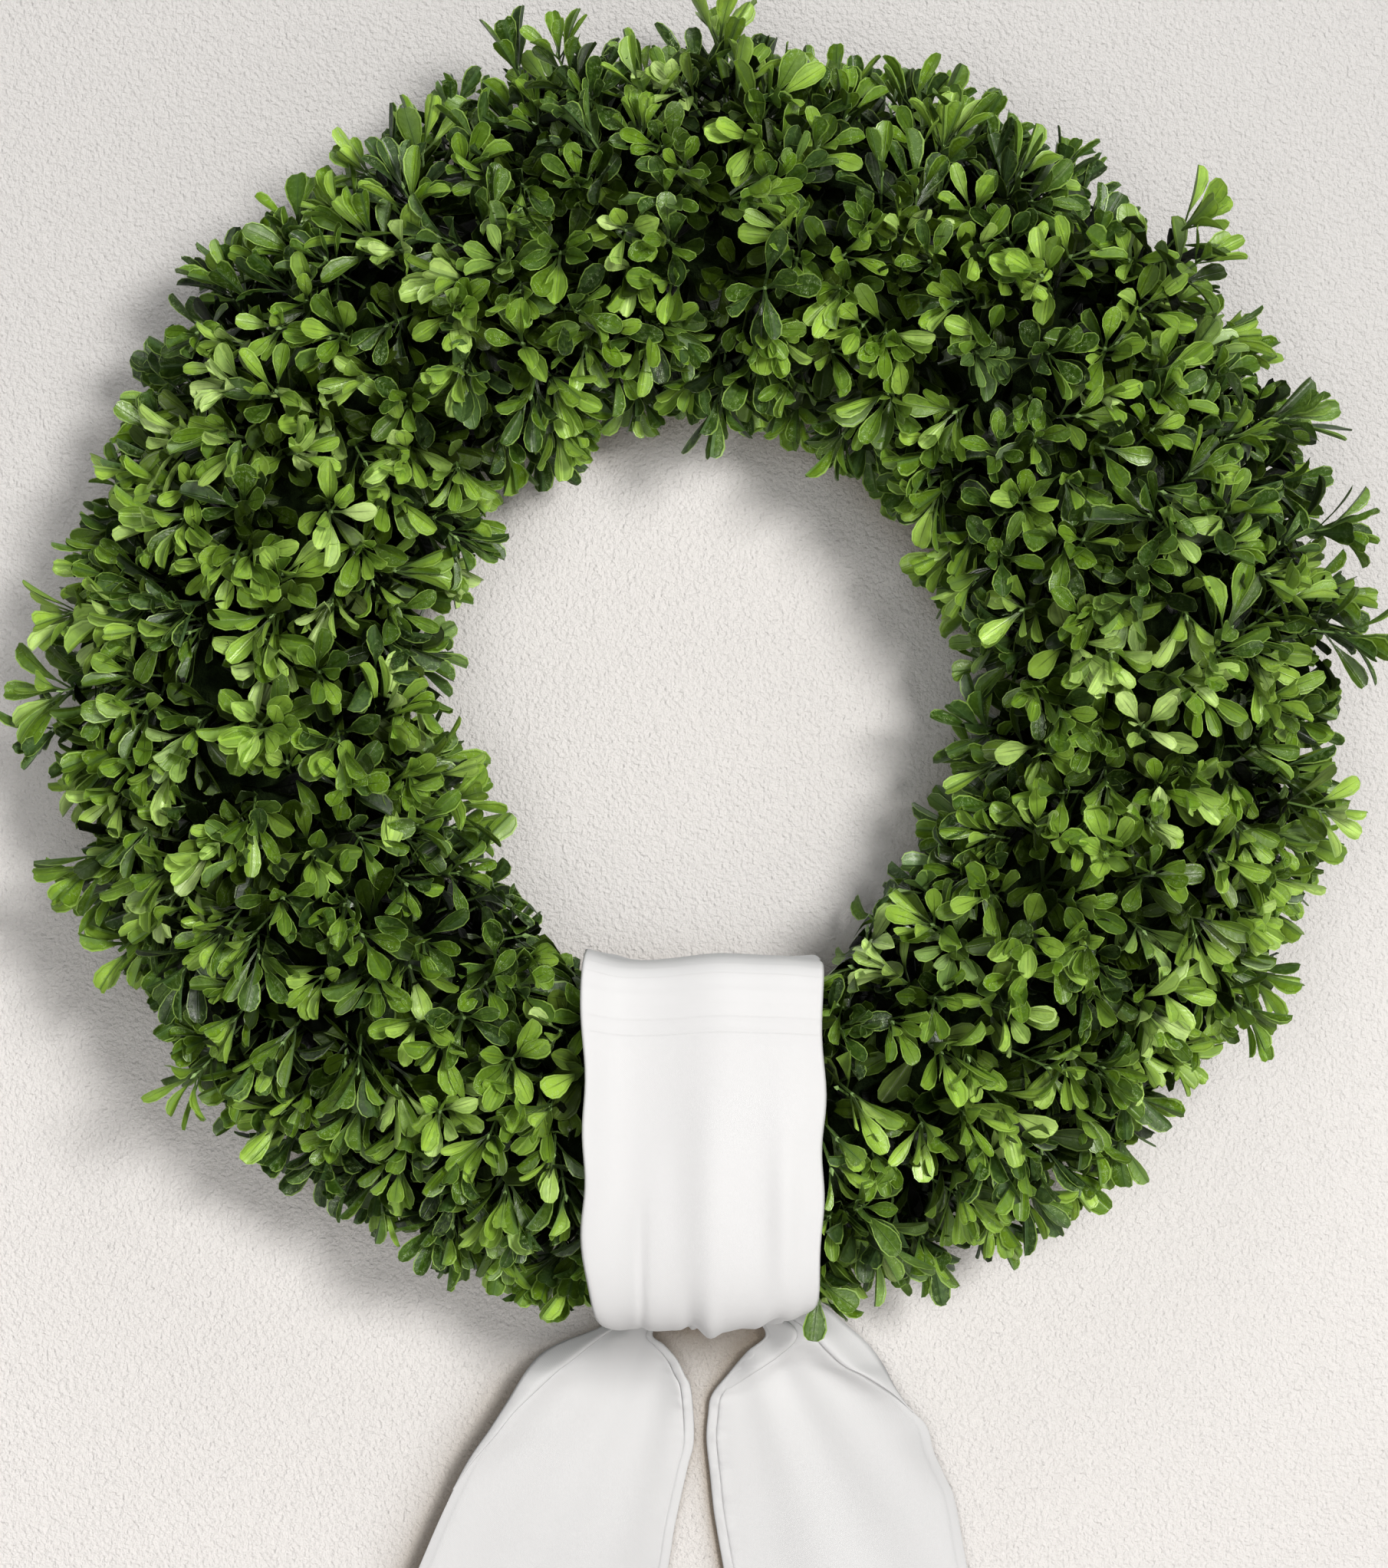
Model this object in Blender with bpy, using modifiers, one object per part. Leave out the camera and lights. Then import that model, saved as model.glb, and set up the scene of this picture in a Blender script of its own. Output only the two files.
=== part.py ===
"""A boxwood wreath bound on a welded wire frame, with a cloth sash tied round its foot.

It hangs upright: +Z is up, the wreath lies in the XZ plane and its face looks towards -Y.
The origin is where a nail carries the frame, under the top of the larger back ring.
"""

import math
import random

import bmesh
import bpy
from mathutils import Vector

# Ring of foliage, in metres
FOLIAGE_RADIUS = 0.205
CROWN_Y = -0.060
REACH = 0.087
DEPTH_SHARE = 0.80

# Bunches round the ring, each lapped over the one before
BUNCHES = 18
BUNCH_ANGLE = 2 * math.pi / BUNCHES
FIRST_BOUNDARY = -math.pi / 2
SWEEP = math.radians(10)
OVERHANG = math.radians(28)
BUNCH_GAP = 0.0016
SOFT_ZONE = 0.010
SEED = 41

# Dense inside of a bunch, round the tube from its outer to its inner side
CORE_REACH = 0.060
CORE_LUMP = 0.008
CORE_SIDES = 7
CORE_FIRST = math.radians(-25)
CORE_ARC = math.radians(230)
CORE_SLICES = (0.0, 0.3, 0.6, 1.0)
CORE_END_LIFT = 0.020
CORE_BAND_MARGIN = 0.004

# Leaves, larger than life so that they cover the bunch
LEAF_LENGTH = 0.048
LEAF_WIDTH = 0.027
LEAF_THICKNESS = 0.0024
LEAF_CUP = 0.0020
LEAF_DROOP = 0.10
LEAF_SUNK = 0.008
LEAF_STEP = 0.03
LEAF_RIM = ((0.0, 0.0), (0.58, -0.5), (0.96, -0.24), (0.96, 0.24), (0.58, 0.5))
LEAF_MIDDLE = 0.6

# Rows of leaves: the way round the tube, the lean of even and of odd leaves towards its outer
# side, in degrees, how many leaves, and their size
LEAF_ROWS = (
    (92, 34, -34, 4, 1.0),
    (68, 50, 44, 3, 1.0),
    (44, 46, 30, 3, 1.0),
    (20, 46, 8, 4, 1.0),
    (-8, 40, -2, 3, 0.95),
    (116, -50, -44, 2, 1.05),
    (140, -46, -30, 2, 1.0),
    (164, -44, -8, 2, 0.95),
    (190, -36, 0, 2, 0.85),
)

# How far a leaf strays from its place in its row
PLACE_STRAY = 0.10
AROUND_STRAY = 3
LEAN_STRAY = 5
TIP_STRAY = (-0.06, 0.08)
FACE_STRAY = 0.2
LENGTH_RANGE = (0.92, 1.12)
WIDTH_RANGE = (0.95, 1.08)

# Sprigs that stand out of the outline: where round the ring, in degrees, and how far out
OUTER_STRAYS = (
    (184.4, 0.311),
    (197.0, 0.307),
    (218.0, 0.308),
    (106.8, 0.307),
    (88.4, 0.307),
    (43.0, 0.314),
    (13.5, 0.310),
    (4.0, 0.307),
    (-31.3, 0.305),
)
INNER_STRAYS = (
    (-50.0, 0.107),
    (205.8, 0.108),
    (86.0, 0.110),
)
STRAY_LEAF = (0.030, 0.016)
STRAY_STEM = 0.0018
STRAY_PAIR_BACK = 0.008
STEM_SIDES = 3
STEM_TAPER = 0.6

# Wire frame: two rings at the back, two standing forward, and bent cross ribs
BACK_RINGS = (0.197, 0.216)
FRONT_RINGS = (0.178, 0.235)
FRONT_RING_Y = -0.012
RING_WIRE = 0.0013
RIB_WIRE = 0.0010
RIB_BACK = 0.0002
RIBS = 6
RING_SEGMENTS = 24
WELD = 1e-6

# Stem bundle of a bunch, and the wire that binds it to the frame
BUNDLE_RADIUS = 0.0050
BUNDLE_SIDES = 6
BUNDLE_TAPER = 0.8
BUNDLE_Y = -0.008
BUNDLE_PAST = 0.008
BUNDLE_SUNK = 0.012
BINDING_WIRE = 0.0004
BINDING_END_TURN = 0.06
BINDING_END_IN = 0.004
TURN_RADII = (0.192, 0.221)
TURN_FRONT_Y = -0.016
CLEARANCE = 0.0003

# Clear space that leaves and stems keep to what lies round their bunch
LEAF_MARGIN = 0.0030
LEAF_BAND_MARGIN = 0.0035
LEAF_BACK_Y = -0.0015
FRAME_MARGIN = (0.010, 0.006)
TAIL_TOP_DROP = 0.262
TAIL_HALF_SPAN = 0.130
TAIL_CLEAR_Y = -0.021

# Sash: a band round the foot of the wreath, seen from the side as a rounded square
SASH_X = 0.002
CLOTH = 0.0012
BAND_HALF_WIDTH = 0.0555
BAND_SIDE_MARGIN = 0.006
BAND_CENTRE_DROP = 0.210
BAND_CENTRE_Y = -0.060
BAND_HALF_HEIGHT = 0.085
BAND_HALF_DEPTH = 0.0637
BAND_FRONT_POWER = 2.5
BAND_BACK_POWER = 4.0
BAND_CLAMP_POWER = 2.4
BAND_ENDS = (0.012, 0.988)
BAND_STEPS = 22
BAND_COLUMNS = 5
CREASE_DEPTH = 0.0008
CREASES = 9
KNOT_TURN = math.radians(136)
GATHERED_SHARE = 0.34
GATHER_TURN = 0.16
GATHER_POWER = 0.8

# The knot behind the foot
KNOT_DROP = 0.2885
KNOT_Y = -0.0065
KNOT_SIZE = (0.027, 0.0100, 0.014)
KNOT_SEGMENTS = 10
KNOT_RINGS = 6

# The tails' edges from the knot to the hem: across from the sash's middle, and the drop
TAIL_ROWS = 8
TAIL_COLUMNS = 6
TAIL_FOLDS = 3
TAIL_FOLD_DEPTH = 0.0030
TAIL_BACK_Y = 0.0005
TAIL_SETTLE = 1 / 3
HEM_DROP = 0.445
LEFT_PHASE = 0.4
RIGHT_PHASE = 2.2
LEFT_OUTER = (
    (-0.018, 0.286),
    (-0.048, 0.292),
    (-0.069, 0.303),
    (-0.085, 0.318),
    (-0.099, 0.339),
    (-0.131, 0.405),
    (-0.148, HEM_DROP - 0.005),
)
LEFT_INNER = (
    (-0.012, 0.292),
    (-0.011, 0.310),
    (-0.005, 0.325),
    (-0.006, 0.348),
    (-0.019, 0.405),
    (-0.029, HEM_DROP),
)
RIGHT_OUTER = (
    (0.018, 0.284),
    (0.054, 0.282),
    (0.079, 0.308),
    (0.100, 0.338),
    (0.118, 0.405),
    (0.128, HEM_DROP - 0.005),
)
RIGHT_INNER = (
    (0.012, 0.291),
    (0.013, 0.310),
    (0.003, 0.326),
    (0.000, 0.350),
    (0.008, 0.405),
    (0.016, HEM_DROP),
)

# The nail meets the underside of the larger back ring, so the wreath's centre hangs below it
CENTRE_Z = -(BACK_RINGS[1] - RING_WIRE)
FRONT = Vector((0, -1, 0))


def ring_point(angle, radius, y):
    """A point at this angle round the wreath's centre, seen from the front."""
    return Vector((radius * math.cos(angle), y, CENTRE_Z + radius * math.sin(angle)))


def boundary_normal(index):
    """The normal of the slanted plane between a bunch and the one before it."""
    angle = FIRST_BOUNDARY + index * BUNCH_ANGLE
    along = Vector((-math.sin(angle), 0, math.cos(angle)))
    out = Vector((math.cos(angle), 0, math.sin(angle)))
    flat = along * math.cos(SWEEP) + out * math.sin(SWEEP)
    return flat * math.cos(OVERHANG) - FRONT * math.sin(OVERHANG)


def boundary_distance(index, point):
    angle = FIRST_BOUNDARY + index * BUNCH_ANGLE
    return boundary_normal(index).dot(point - ring_point(angle, FOLIAGE_RADIUS, CROWN_Y))


def boundary_angle(index, radius, y):
    """The angle at which that plane crosses a circle round the wreath."""
    across = radius * math.cos(SWEEP)
    out = radius * math.sin(SWEEP)
    offset = FOLIAGE_RADIUS * math.sin(SWEEP) - (y - CROWN_Y) * math.tan(OVERHANG)
    turn = math.asin(offset / math.hypot(across, out)) - math.atan2(out, across)
    return FIRST_BOUNDARY + index * BUNCH_ANGLE + turn


def new_object(name, mesh, collection):
    obj = bpy.data.objects.new(name, mesh)
    collection.objects.link(obj)
    return obj


def new_repeats(name):
    """A collection for pieces that are to be fused."""
    repeats = bpy.data.collections.new(name)
    bpy.context.scene.collection.children.link(repeats)
    return repeats


def evaluated_mesh(obj):
    bpy.context.view_layer.update()
    evaluated = obj.evaluated_get(bpy.context.evaluated_depsgraph_get())
    return bpy.data.meshes.new_from_object(evaluated)


def mesh_from(name, points, faces):
    """A closed mesh with its faces turned outwards."""
    bm = bmesh.new()
    corners = [bm.verts.new(p) for p in points]
    for face in faces:
        bm.faces.new([corners[i] for i in face])
    bmesh.ops.recalc_face_normals(bm, faces=bm.faces)
    bmesh.ops.triangulate(bm, faces=bm.faces)
    mesh = bpy.data.meshes.new(name)
    bm.to_mesh(mesh)
    bm.free()
    return mesh


def loft(name, sections):
    """A closed body through sections with equal numbers of points."""
    count = len(sections[0])
    points = [p for section in sections for p in section]
    faces = [list(range(count)), [len(points) - count + i for i in range(count)]]
    for s in range(len(sections) - 1):
        for i in range(count):
            j = (i + 1) % count
            a = s * count
            faces.append([a + i, a + j, a + count + j, a + count + i])
    return mesh_from(name, points, faces)


def wire(name, points, radius, collection, cyclic=False):
    """A four-sided wire along a poly line, as a closed mesh."""
    curve = bpy.data.curves.new(name, "CURVE")
    curve.dimensions = "3D"
    curve.bevel_depth = radius
    curve.bevel_resolution = 0
    curve.use_fill_caps = not cyclic
    spline = curve.splines.new("POLY")
    spline.points.add(len(points) - 1)
    for target, point in zip(spline.points, points):
        target.co = (*point, 1)
    spline.use_cyclic_u = cyclic
    guide = new_object(name + "_guide", curve, collection)
    mesh = evaluated_mesh(guide)
    bm = bmesh.new()
    bm.from_mesh(mesh)
    bmesh.ops.remove_doubles(bm, verts=bm.verts, dist=WELD)
    bmesh.ops.recalc_face_normals(bm, faces=bm.faces)
    bm.to_mesh(mesh)
    bm.free()
    mesh.name = name
    made = new_object(name, mesh, collection)
    made.matrix_world = guide.matrix_world
    bpy.data.objects.remove(guide)
    return made


def fuse(body, repeats):
    """Joins every object of the collection into the body, then removes them."""
    joint = body.modifiers.new("fuse", "BOOLEAN")
    joint.operation = "UNION"
    joint.operand_type = "COLLECTION"
    joint.collection = repeats
    joint.solver = "MANIFOLD"
    fused = evaluated_mesh(body)
    body.modifiers.clear()
    body.data = fused
    for obj in list(repeats.objects):
        bpy.data.objects.remove(obj)
    bpy.data.collections.remove(repeats)


def keep_largest(body):
    """Drops loose scraps."""
    bm = bmesh.new()
    bm.from_mesh(body.data)
    islands = []
    unseen = set(bm.verts)
    while unseen:
        front = [unseen.pop()]
        reached = set(front)
        while front:
            vert = front.pop()
            for link in vert.link_edges:
                other = link.other_vert(vert)
                if other in unseen:
                    unseen.remove(other)
                    reached.add(other)
                    front.append(other)
        islands.append(reached)
    largest = max(islands, key=len)
    scraps = [v for v in bm.verts if v not in largest]
    bmesh.ops.delete(bm, geom=scraps, context="VERTS")
    bmesh.ops.triangulate(bm, faces=bm.faces)
    bm.to_mesh(body.data)
    bm.free()


def finished(body, repeats, look):
    """Fuses a body with its repeats and gives it its one material."""
    fuse(body, repeats)
    keep_largest(body)
    body.data.name = body.name
    body.data.materials.clear()
    body.data.materials.append(look)


def material(name, colour, roughness, metallic=0.0):
    made = bpy.data.materials.new(name)
    made.use_nodes = True
    shader = made.node_tree.nodes["Principled BSDF"]
    shader.inputs["Base Color"].default_value = (*colour, 1)
    shader.inputs["Roughness"].default_value = roughness
    shader.inputs["Metallic"].default_value = metallic
    return made


def soft_limit(distance, least):
    """Leaves a distance alone while it is ample, and eases it towards the least one."""
    ample = least + SOFT_ZONE
    if distance >= ample:
        return distance
    return least + SOFT_ZONE * math.exp((distance - ample) / SOFT_ZONE)


def inside_bunch(index, point):
    """Bends a point back between the two planes that bound a bunch."""
    low = boundary_distance(index, point)
    point = point + boundary_normal(index) * (soft_limit(low, LEAF_MARGIN) - low)
    high = -boundary_distance(index + 1, point)
    return point - boundary_normal(index + 1) * (soft_limit(high, LEAF_MARGIN) - high)


def under_band(point, margin):
    """Presses a point in to where the sash lets it lie."""
    drop = CENTRE_Z - point.z - BAND_CENTRE_DROP
    depth = point.y - BAND_CENTRE_Y
    share = (abs(drop) / (BAND_HALF_HEIGHT - margin)) ** BAND_CLAMP_POWER
    share += (abs(depth) / (BAND_HALF_DEPTH - margin)) ** BAND_CLAMP_POWER
    if share <= 1:
        return point
    shrink = share ** (-1 / BAND_CLAMP_POWER)
    lower = CENTRE_Z - BAND_CENTRE_DROP - drop * shrink
    return Vector((point.x, BAND_CENTRE_Y + depth * shrink, lower))


def near_band(point):
    side = abs(point.x - SASH_X) - BAND_HALF_WIDTH
    return point.z < CENTRE_Z and side < BAND_SIDE_MARGIN


def clear_of_back(point):
    """Keeps a point in front of the wall, the frame and the tails of the sash."""
    radius = math.hypot(point.x, point.z - CENTRE_Z)
    side, front = FRAME_MARGIN
    limit = LEAF_BACK_Y
    if FRONT_RINGS[0] - side < radius < FRONT_RINGS[1] + side:
        limit = FRONT_RING_Y - front
    if CENTRE_Z - point.z > TAIL_TOP_DROP and abs(point.x) < TAIL_HALF_SPAN:
        limit = TAIL_CLEAR_Y
    return Vector((point.x, min(point.y, limit), point.z))


def placed(index, points):
    """The points of one leaf or stem, bent clear of what lies round its bunch."""
    pressed = any(near_band(p) for p in points)
    for _ in range(3):
        if pressed:
            points = [under_band(p, LEAF_BAND_MARGIN) for p in points]
        points = [clear_of_back(p) for p in points]
        points = [inside_bunch(index, p) for p in points]
    return points


def leaf(index, root, along, facing, length, width, collection):
    """A cupped blade with a rounded tip, widest past its middle."""
    along = along.normalized()
    side = along.cross(facing).normalized()
    face = side.cross(along).normalized()
    points = []
    for a, b in LEAF_RIM:
        droop = LEAF_DROOP * length * a * a
        points.append(root + along * (a * length) + side * (b * width) - face * droop)
    sag = LEAF_CUP + LEAF_DROOP * length * LEAF_MIDDLE**2
    middle = root + along * (LEAF_MIDDLE * length) - face * sag
    *points, middle = placed(index, points + [middle])
    normal = (points[2] + points[3] - 2 * points[0]).cross(points[4] - points[1])
    if normal.dot(face) < 0:
        normal = -normal
    normal.normalize()
    points.append(middle + normal * LEAF_THICKNESS / 2)
    points.append(middle - normal * LEAF_THICKNESS / 2)
    faces = []
    corners = len(LEAF_RIM)
    for i in range(corners):
        j = (i + 1) % corners
        faces.append([i, j, corners])
        faces.append([j, i, corners + 1])
    new_object("leaf", mesh_from("leaf", points, faces), collection)


def stem(index, start, end, radius, collection):
    """A tapering twig with few sides."""
    along = (end - start).normalized()
    side = along.orthogonal().normalized()
    other = along.cross(side)
    sections = []
    for centre, size in ((start, radius), (end, STEM_TAPER * radius)):
        centre = placed(index, [centre])[0]
        section = []
        for k in range(STEM_SIDES):
            turn = 2 * math.pi * k / STEM_SIDES
            section.append(centre + (side * math.cos(turn) + other * math.sin(turn)) * size)
        sections.append(section)
    new_object("stem", loft("stem", sections), collection)


def tube_place(around, reach):
    """The radius and depth of a place round the tube, at a reach from its middle."""
    radius = FOLIAGE_RADIUS + reach * math.cos(around)
    return radius, CROWN_Y - DEPTH_SHARE * reach * math.sin(around)


def tube_point(angle, around, reach):
    return ring_point(angle, *tube_place(around, reach))


def bunch_point(index, share, around, reach):
    """A place in a bunch: how far across it, the way round the tube, and the reach."""
    radius, y = tube_place(around, reach)
    return ring_point(boundary_angle(index, radius, y) + share * BUNCH_ANGLE, radius, y)


def leaf_row(index, draw, row, collection):
    """One row of leaves along a bunch, which lean away from its crown."""
    around_degrees, even_lean, odd_lean, count, size = row
    sunk = CORE_REACH - LEAF_SUNK
    for k in range(count):
        share = (k + 0.5 + draw.uniform(-PLACE_STRAY, PLACE_STRAY)) / count
        around = math.radians(around_degrees + draw.uniform(-AROUND_STRAY, AROUND_STRAY))
        lean_degrees = even_lean if k % 2 == 0 else odd_lean
        lean = math.radians(lean_degrees + draw.uniform(-LEAN_STRAY, LEAN_STRAY))
        root = bunch_point(index, share, around, sunk)
        tip_share = share + draw.uniform(*TIP_STRAY)
        tip_around = around - math.sin(lean) * LEAF_STEP / CORE_REACH
        tip = bunch_point(index, tip_share, tip_around, sunk + LEAF_STEP * math.cos(lean))
        angle = math.atan2(root.z - CENTRE_Z, root.x)
        out = Vector((math.cos(angle), 0, math.sin(angle)))
        normal = out * math.cos(around) + FRONT * math.sin(around)
        upright = max(0.0, math.cos(lean)) ** 2
        twist_x = draw.uniform(-FACE_STRAY, FACE_STRAY)
        twist_z = draw.uniform(-FACE_STRAY, FACE_STRAY)
        facing = FRONT * upright + normal + Vector((twist_x, 0, twist_z))
        length = LEAF_LENGTH * size * draw.uniform(*LENGTH_RANGE)
        width = LEAF_WIDTH * size * draw.uniform(*WIDTH_RANGE)
        leaf(index, root, tip - root, facing, length, width, collection)


def core_outline(draw, lift):
    """A slice's outline as radius and depth: lumps round the tube, then feet over the frame."""
    outline = []
    for k in range(CORE_SIDES):
        around = CORE_FIRST + CORE_ARC * k / (CORE_SIDES - 1)
        reach = CORE_REACH + draw.uniform(-CORE_LUMP, CORE_LUMP)
        outline.append(tube_place(around, reach))
    seat = -RING_WIRE - CLEARANCE - 0.0001 - lift
    trough = FRONT_RING_Y - RING_WIRE - 4.5 * CLEARANCE - lift
    outline += [
        (FRONT_RINGS[0] - 0.016, trough - 0.003),
        (FRONT_RINGS[0] - 0.001, trough),
        (BACK_RINGS[0] + 0.001, seat),
        (BACK_RINGS[1] - 0.001, seat),
        (FRONT_RINGS[1] - 0.002, trough),
        (FRONT_RINGS[1] + 0.012, trough - 0.003),
    ]
    return outline


def core_section(index, draw, share):
    """One slice of the core; the last is raised, to clear the next bunch's stems."""
    lift = CORE_END_LIFT if share == CORE_SLICES[-1] else 0.0
    section = []
    for radius, y in core_outline(draw, lift):
        edge = BUNCH_GAP / (radius * math.cos(OVERHANG))
        start = boundary_angle(index, radius, y)
        point = ring_point(start + edge + share * (BUNCH_ANGLE - 2 * edge), radius, y)
        if near_band(point):
            point = under_band(point, CORE_BAND_MARGIN)
        section.append(point)
    return section


def bundle(index, collection):
    """The cut stems of a bunch, which reach out under the binding wire."""
    middle = (BACK_RINGS[0] + BACK_RINGS[1]) / 2
    start = boundary_angle(index, middle, BUNDLE_Y)
    sections = []
    for past, size in ((-BUNDLE_PAST, BUNDLE_TAPER * BUNDLE_RADIUS), (BUNDLE_SUNK, BUNDLE_RADIUS)):
        angle = start + past / middle
        section = []
        for k in range(BUNDLE_SIDES):
            turn = 2 * math.pi * k / BUNDLE_SIDES
            radius = middle + size * math.cos(turn)
            section.append(ring_point(angle, radius, BUNDLE_Y + size * math.sin(turn)))
        sections.append(section)
    new_object("bundle", loft("bundle", sections), collection)


def in_bunch(index, angle, around):
    """Whether a place on the tube lies between the planes of a bunch."""
    place = tube_point(angle, around, REACH)
    return boundary_distance(index, place) > 0 > boundary_distance(index + 1, place)


def stray(index, draw, angle, around, radius, collection):
    """A sprig that stands out of the outline, with a pair of leaves and one at its tip."""
    length, width = STRAY_LEAF
    foot = tube_point(angle, around, CORE_REACH - LEAF_SUNK)
    head = tube_point(angle, around, abs(radius - FOLIAGE_RADIUS) - 0.7 * length)
    stem(index, foot, head, STRAY_STEM, collection)
    along = (head - foot).normalized()
    side = along.cross(FRONT)
    for back, turns in ((0.0, (0,)), (STRAY_PAIR_BACK, (-1, 1))):
        for turn in turns:
            direction = along + side * (0.9 * turn) + FRONT * draw.uniform(-0.1, 0.3)
            root = head - along * (back + STRAY_PAIR_BACK / 2)
            face = FRONT + side * draw.uniform(-0.3, 0.3)
            leaf(index, root, direction, face, length, width, collection)


def bunch(index, look, wreath):
    draw = random.Random(SEED + index)
    name = f"bunch_{index + 1:02d}"
    sections = [core_section(index, draw, share) for share in CORE_SLICES]
    body = new_object(name, loft(name, sections), wreath)
    repeats = new_repeats(name + "_leaves")
    bundle(index, repeats)
    for row in LEAF_ROWS:
        leaf_row(index, draw, row, repeats)
    for strays, around in ((OUTER_STRAYS, 0.0), (INNER_STRAYS, math.pi)):
        for degrees, radius in strays:
            angle = math.radians(degrees)
            if in_bunch(index, angle, around):
                stray(index, draw, angle, around, radius, repeats)
    finished(body, repeats, look)


def rib_angle(k):
    """Ribs cross the frame half-way along a bunch."""
    start = boundary_angle(0, BACK_RINGS[0], 0.0)
    return start + BUNCH_ANGLE / 2 + k * 2 * math.pi / RIBS


def wire_frame(look, wreath):
    """Four rings, with ribs that dip behind the back ones."""
    repeats = new_repeats("frame_wires")
    rings = []
    for radii, y in ((BACK_RINGS, 0.0), (FRONT_RINGS, FRONT_RING_Y)):
        for radius in radii:
            points = []
            for k in range(RING_SEGMENTS):
                angle = rib_angle(0) + 2 * math.pi * k / RING_SEGMENTS
                points.append(ring_point(angle, radius, y))
            rings.append(wire("ring", points, RING_WIRE, repeats, cyclic=True))
    stations = (
        (FRONT_RINGS[0], FRONT_RING_Y + RIB_BACK),
        (BACK_RINGS[0], RIB_BACK),
        (BACK_RINGS[1], RIB_BACK),
        (FRONT_RINGS[1], FRONT_RING_Y + RIB_BACK),
    )
    for k in range(RIBS):
        points = [ring_point(rib_angle(k), radius, y) for radius, y in stations]
        wire("rib", points, RIB_WIRE, repeats)
    body = rings[0]
    repeats.objects.unlink(body)
    wreath.objects.link(body)
    body.name = "wire_frame"
    finished(body, repeats, look)
    body.data.shade_smooth()
    body.data.set_sharp_from_angle(angle=math.radians(70))


def binding_wire(look, wreath):
    """One wire wound round the frame, with a turn over the stems of each bunch."""
    back = RING_WIRE + CLEARANCE + BINDING_WIRE
    inner, outer = TURN_RADII
    points = []
    for index in range(BUNCHES):
        turn = ((outer, back), (outer, TURN_FRONT_Y), (inner, TURN_FRONT_Y), (inner, back))
        for radius, y in turn:
            points.append(ring_point(boundary_angle(index, radius, y), radius, y))
    last = boundary_angle(BUNCHES, outer, back) - BINDING_END_TURN
    points.append(ring_point(last, outer - BINDING_END_IN, back))
    body = wire("binding_wire", points, BINDING_WIRE, wreath)
    body.data.materials.append(look)


def band_point(turn, across):
    """A point of the sash's middle surface round the foot of the wreath.

    The turn runs from the knot, 0, up the back, over the front and under, to the knot, 1.
    """
    angle = KNOT_TURN + 2 * math.pi * turn
    cosine = math.cos(angle)
    sine = math.sin(angle)
    power = BAND_BACK_POWER if sine > 0 else BAND_FRONT_POWER
    scale = (abs(cosine) ** power + abs(sine) ** power) ** (-1 / power)
    drop = BAND_CENTRE_DROP - BAND_HALF_HEIGHT * cosine * scale
    depth = BAND_CENTRE_Y + BAND_HALF_DEPTH * sine * scale
    from_knot = min(1.0, min(turn, 1 - turn) / GATHER_TURN)
    spread = GATHERED_SHARE + (1 - GATHERED_SHARE) * from_knot**GATHER_POWER
    crease = CREASE_DEPTH * math.sin(CREASES * across + 2 * turn)
    x = SASH_X + across * BAND_HALF_WIDTH * spread + crease
    return Vector((x, depth, CENTRE_Z - drop))


def sheet(name, rows, collection):
    """A cloth sheet through rows of points, with its thickness."""
    width = len(rows[0])
    faces = []
    for r in range(len(rows) - 1):
        for c in range(width - 1):
            a = r * width + c
            faces.append([a, a + 1, a + width + 1, a + width])
    mesh = bpy.data.meshes.new(name)
    mesh.from_pydata([p for row in rows for p in row], [], faces)
    made = new_object(name, mesh, collection)
    thickness = made.modifiers.new("thickness", "SOLIDIFY")
    thickness.thickness = CLOTH
    thickness.offset = 0
    solid = evaluated_mesh(made)
    bm = bmesh.new()
    bm.from_mesh(solid)
    bmesh.ops.recalc_face_normals(bm, faces=bm.faces)
    bmesh.ops.triangulate(bm, faces=bm.faces)
    bm.to_mesh(solid)
    bm.free()
    made.modifiers.clear()
    made.data = solid
    return made


def edge_at(edge, share):
    """A point part-way along an edge line."""
    lengths = [math.dist(a, b) for a, b in zip(edge, edge[1:])]
    left = share * sum(lengths)
    k = 0
    while k < len(lengths) - 1 and left > lengths[k]:
        left -= lengths[k]
        k += 1
    start = Vector(edge[k])
    return start + (Vector(edge[k + 1]) - start) * (left / lengths[k])


def tail(name, outer, inner, phase, collection):
    """A hanging end of the sash, gathered at the knot and spread at its hem."""
    rows = []
    for r in range(TAIL_ROWS + 1):
        share = r / TAIL_ROWS
        left = edge_at(outer, share)
        right = edge_at(inner, share)
        settled = KNOT_Y + (TAIL_BACK_Y - KNOT_Y) * min(1.0, share / TAIL_SETTLE)
        depth = TAIL_FOLD_DEPTH * min(1.0, 0.5 + share)
        row = []
        for c in range(TAIL_COLUMNS + 1):
            across = c / TAIL_COLUMNS
            x, drop = left.lerp(right, across)
            fold = depth * math.cos(math.pi * TAIL_FOLDS * across + phase)
            row.append(Vector((SASH_X + x, settled + fold, CENTRE_Z - drop)))
        rows.append(row)
    sheet(name, rows, collection)


def knot(collection):
    """The bulk of the knot behind the foot of the wreath."""
    bm = bmesh.new()
    bmesh.ops.create_uvsphere(
        bm, u_segments=KNOT_SEGMENTS, v_segments=KNOT_RINGS, radius=1.0
    )
    bmesh.ops.scale(bm, vec=KNOT_SIZE, verts=bm.verts)
    bmesh.ops.translate(bm, vec=(SASH_X, KNOT_Y, CENTRE_Z - KNOT_DROP), verts=bm.verts)
    mesh = bpy.data.meshes.new("knot")
    bm.to_mesh(mesh)
    bm.free()
    new_object("knot", mesh, collection)


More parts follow.
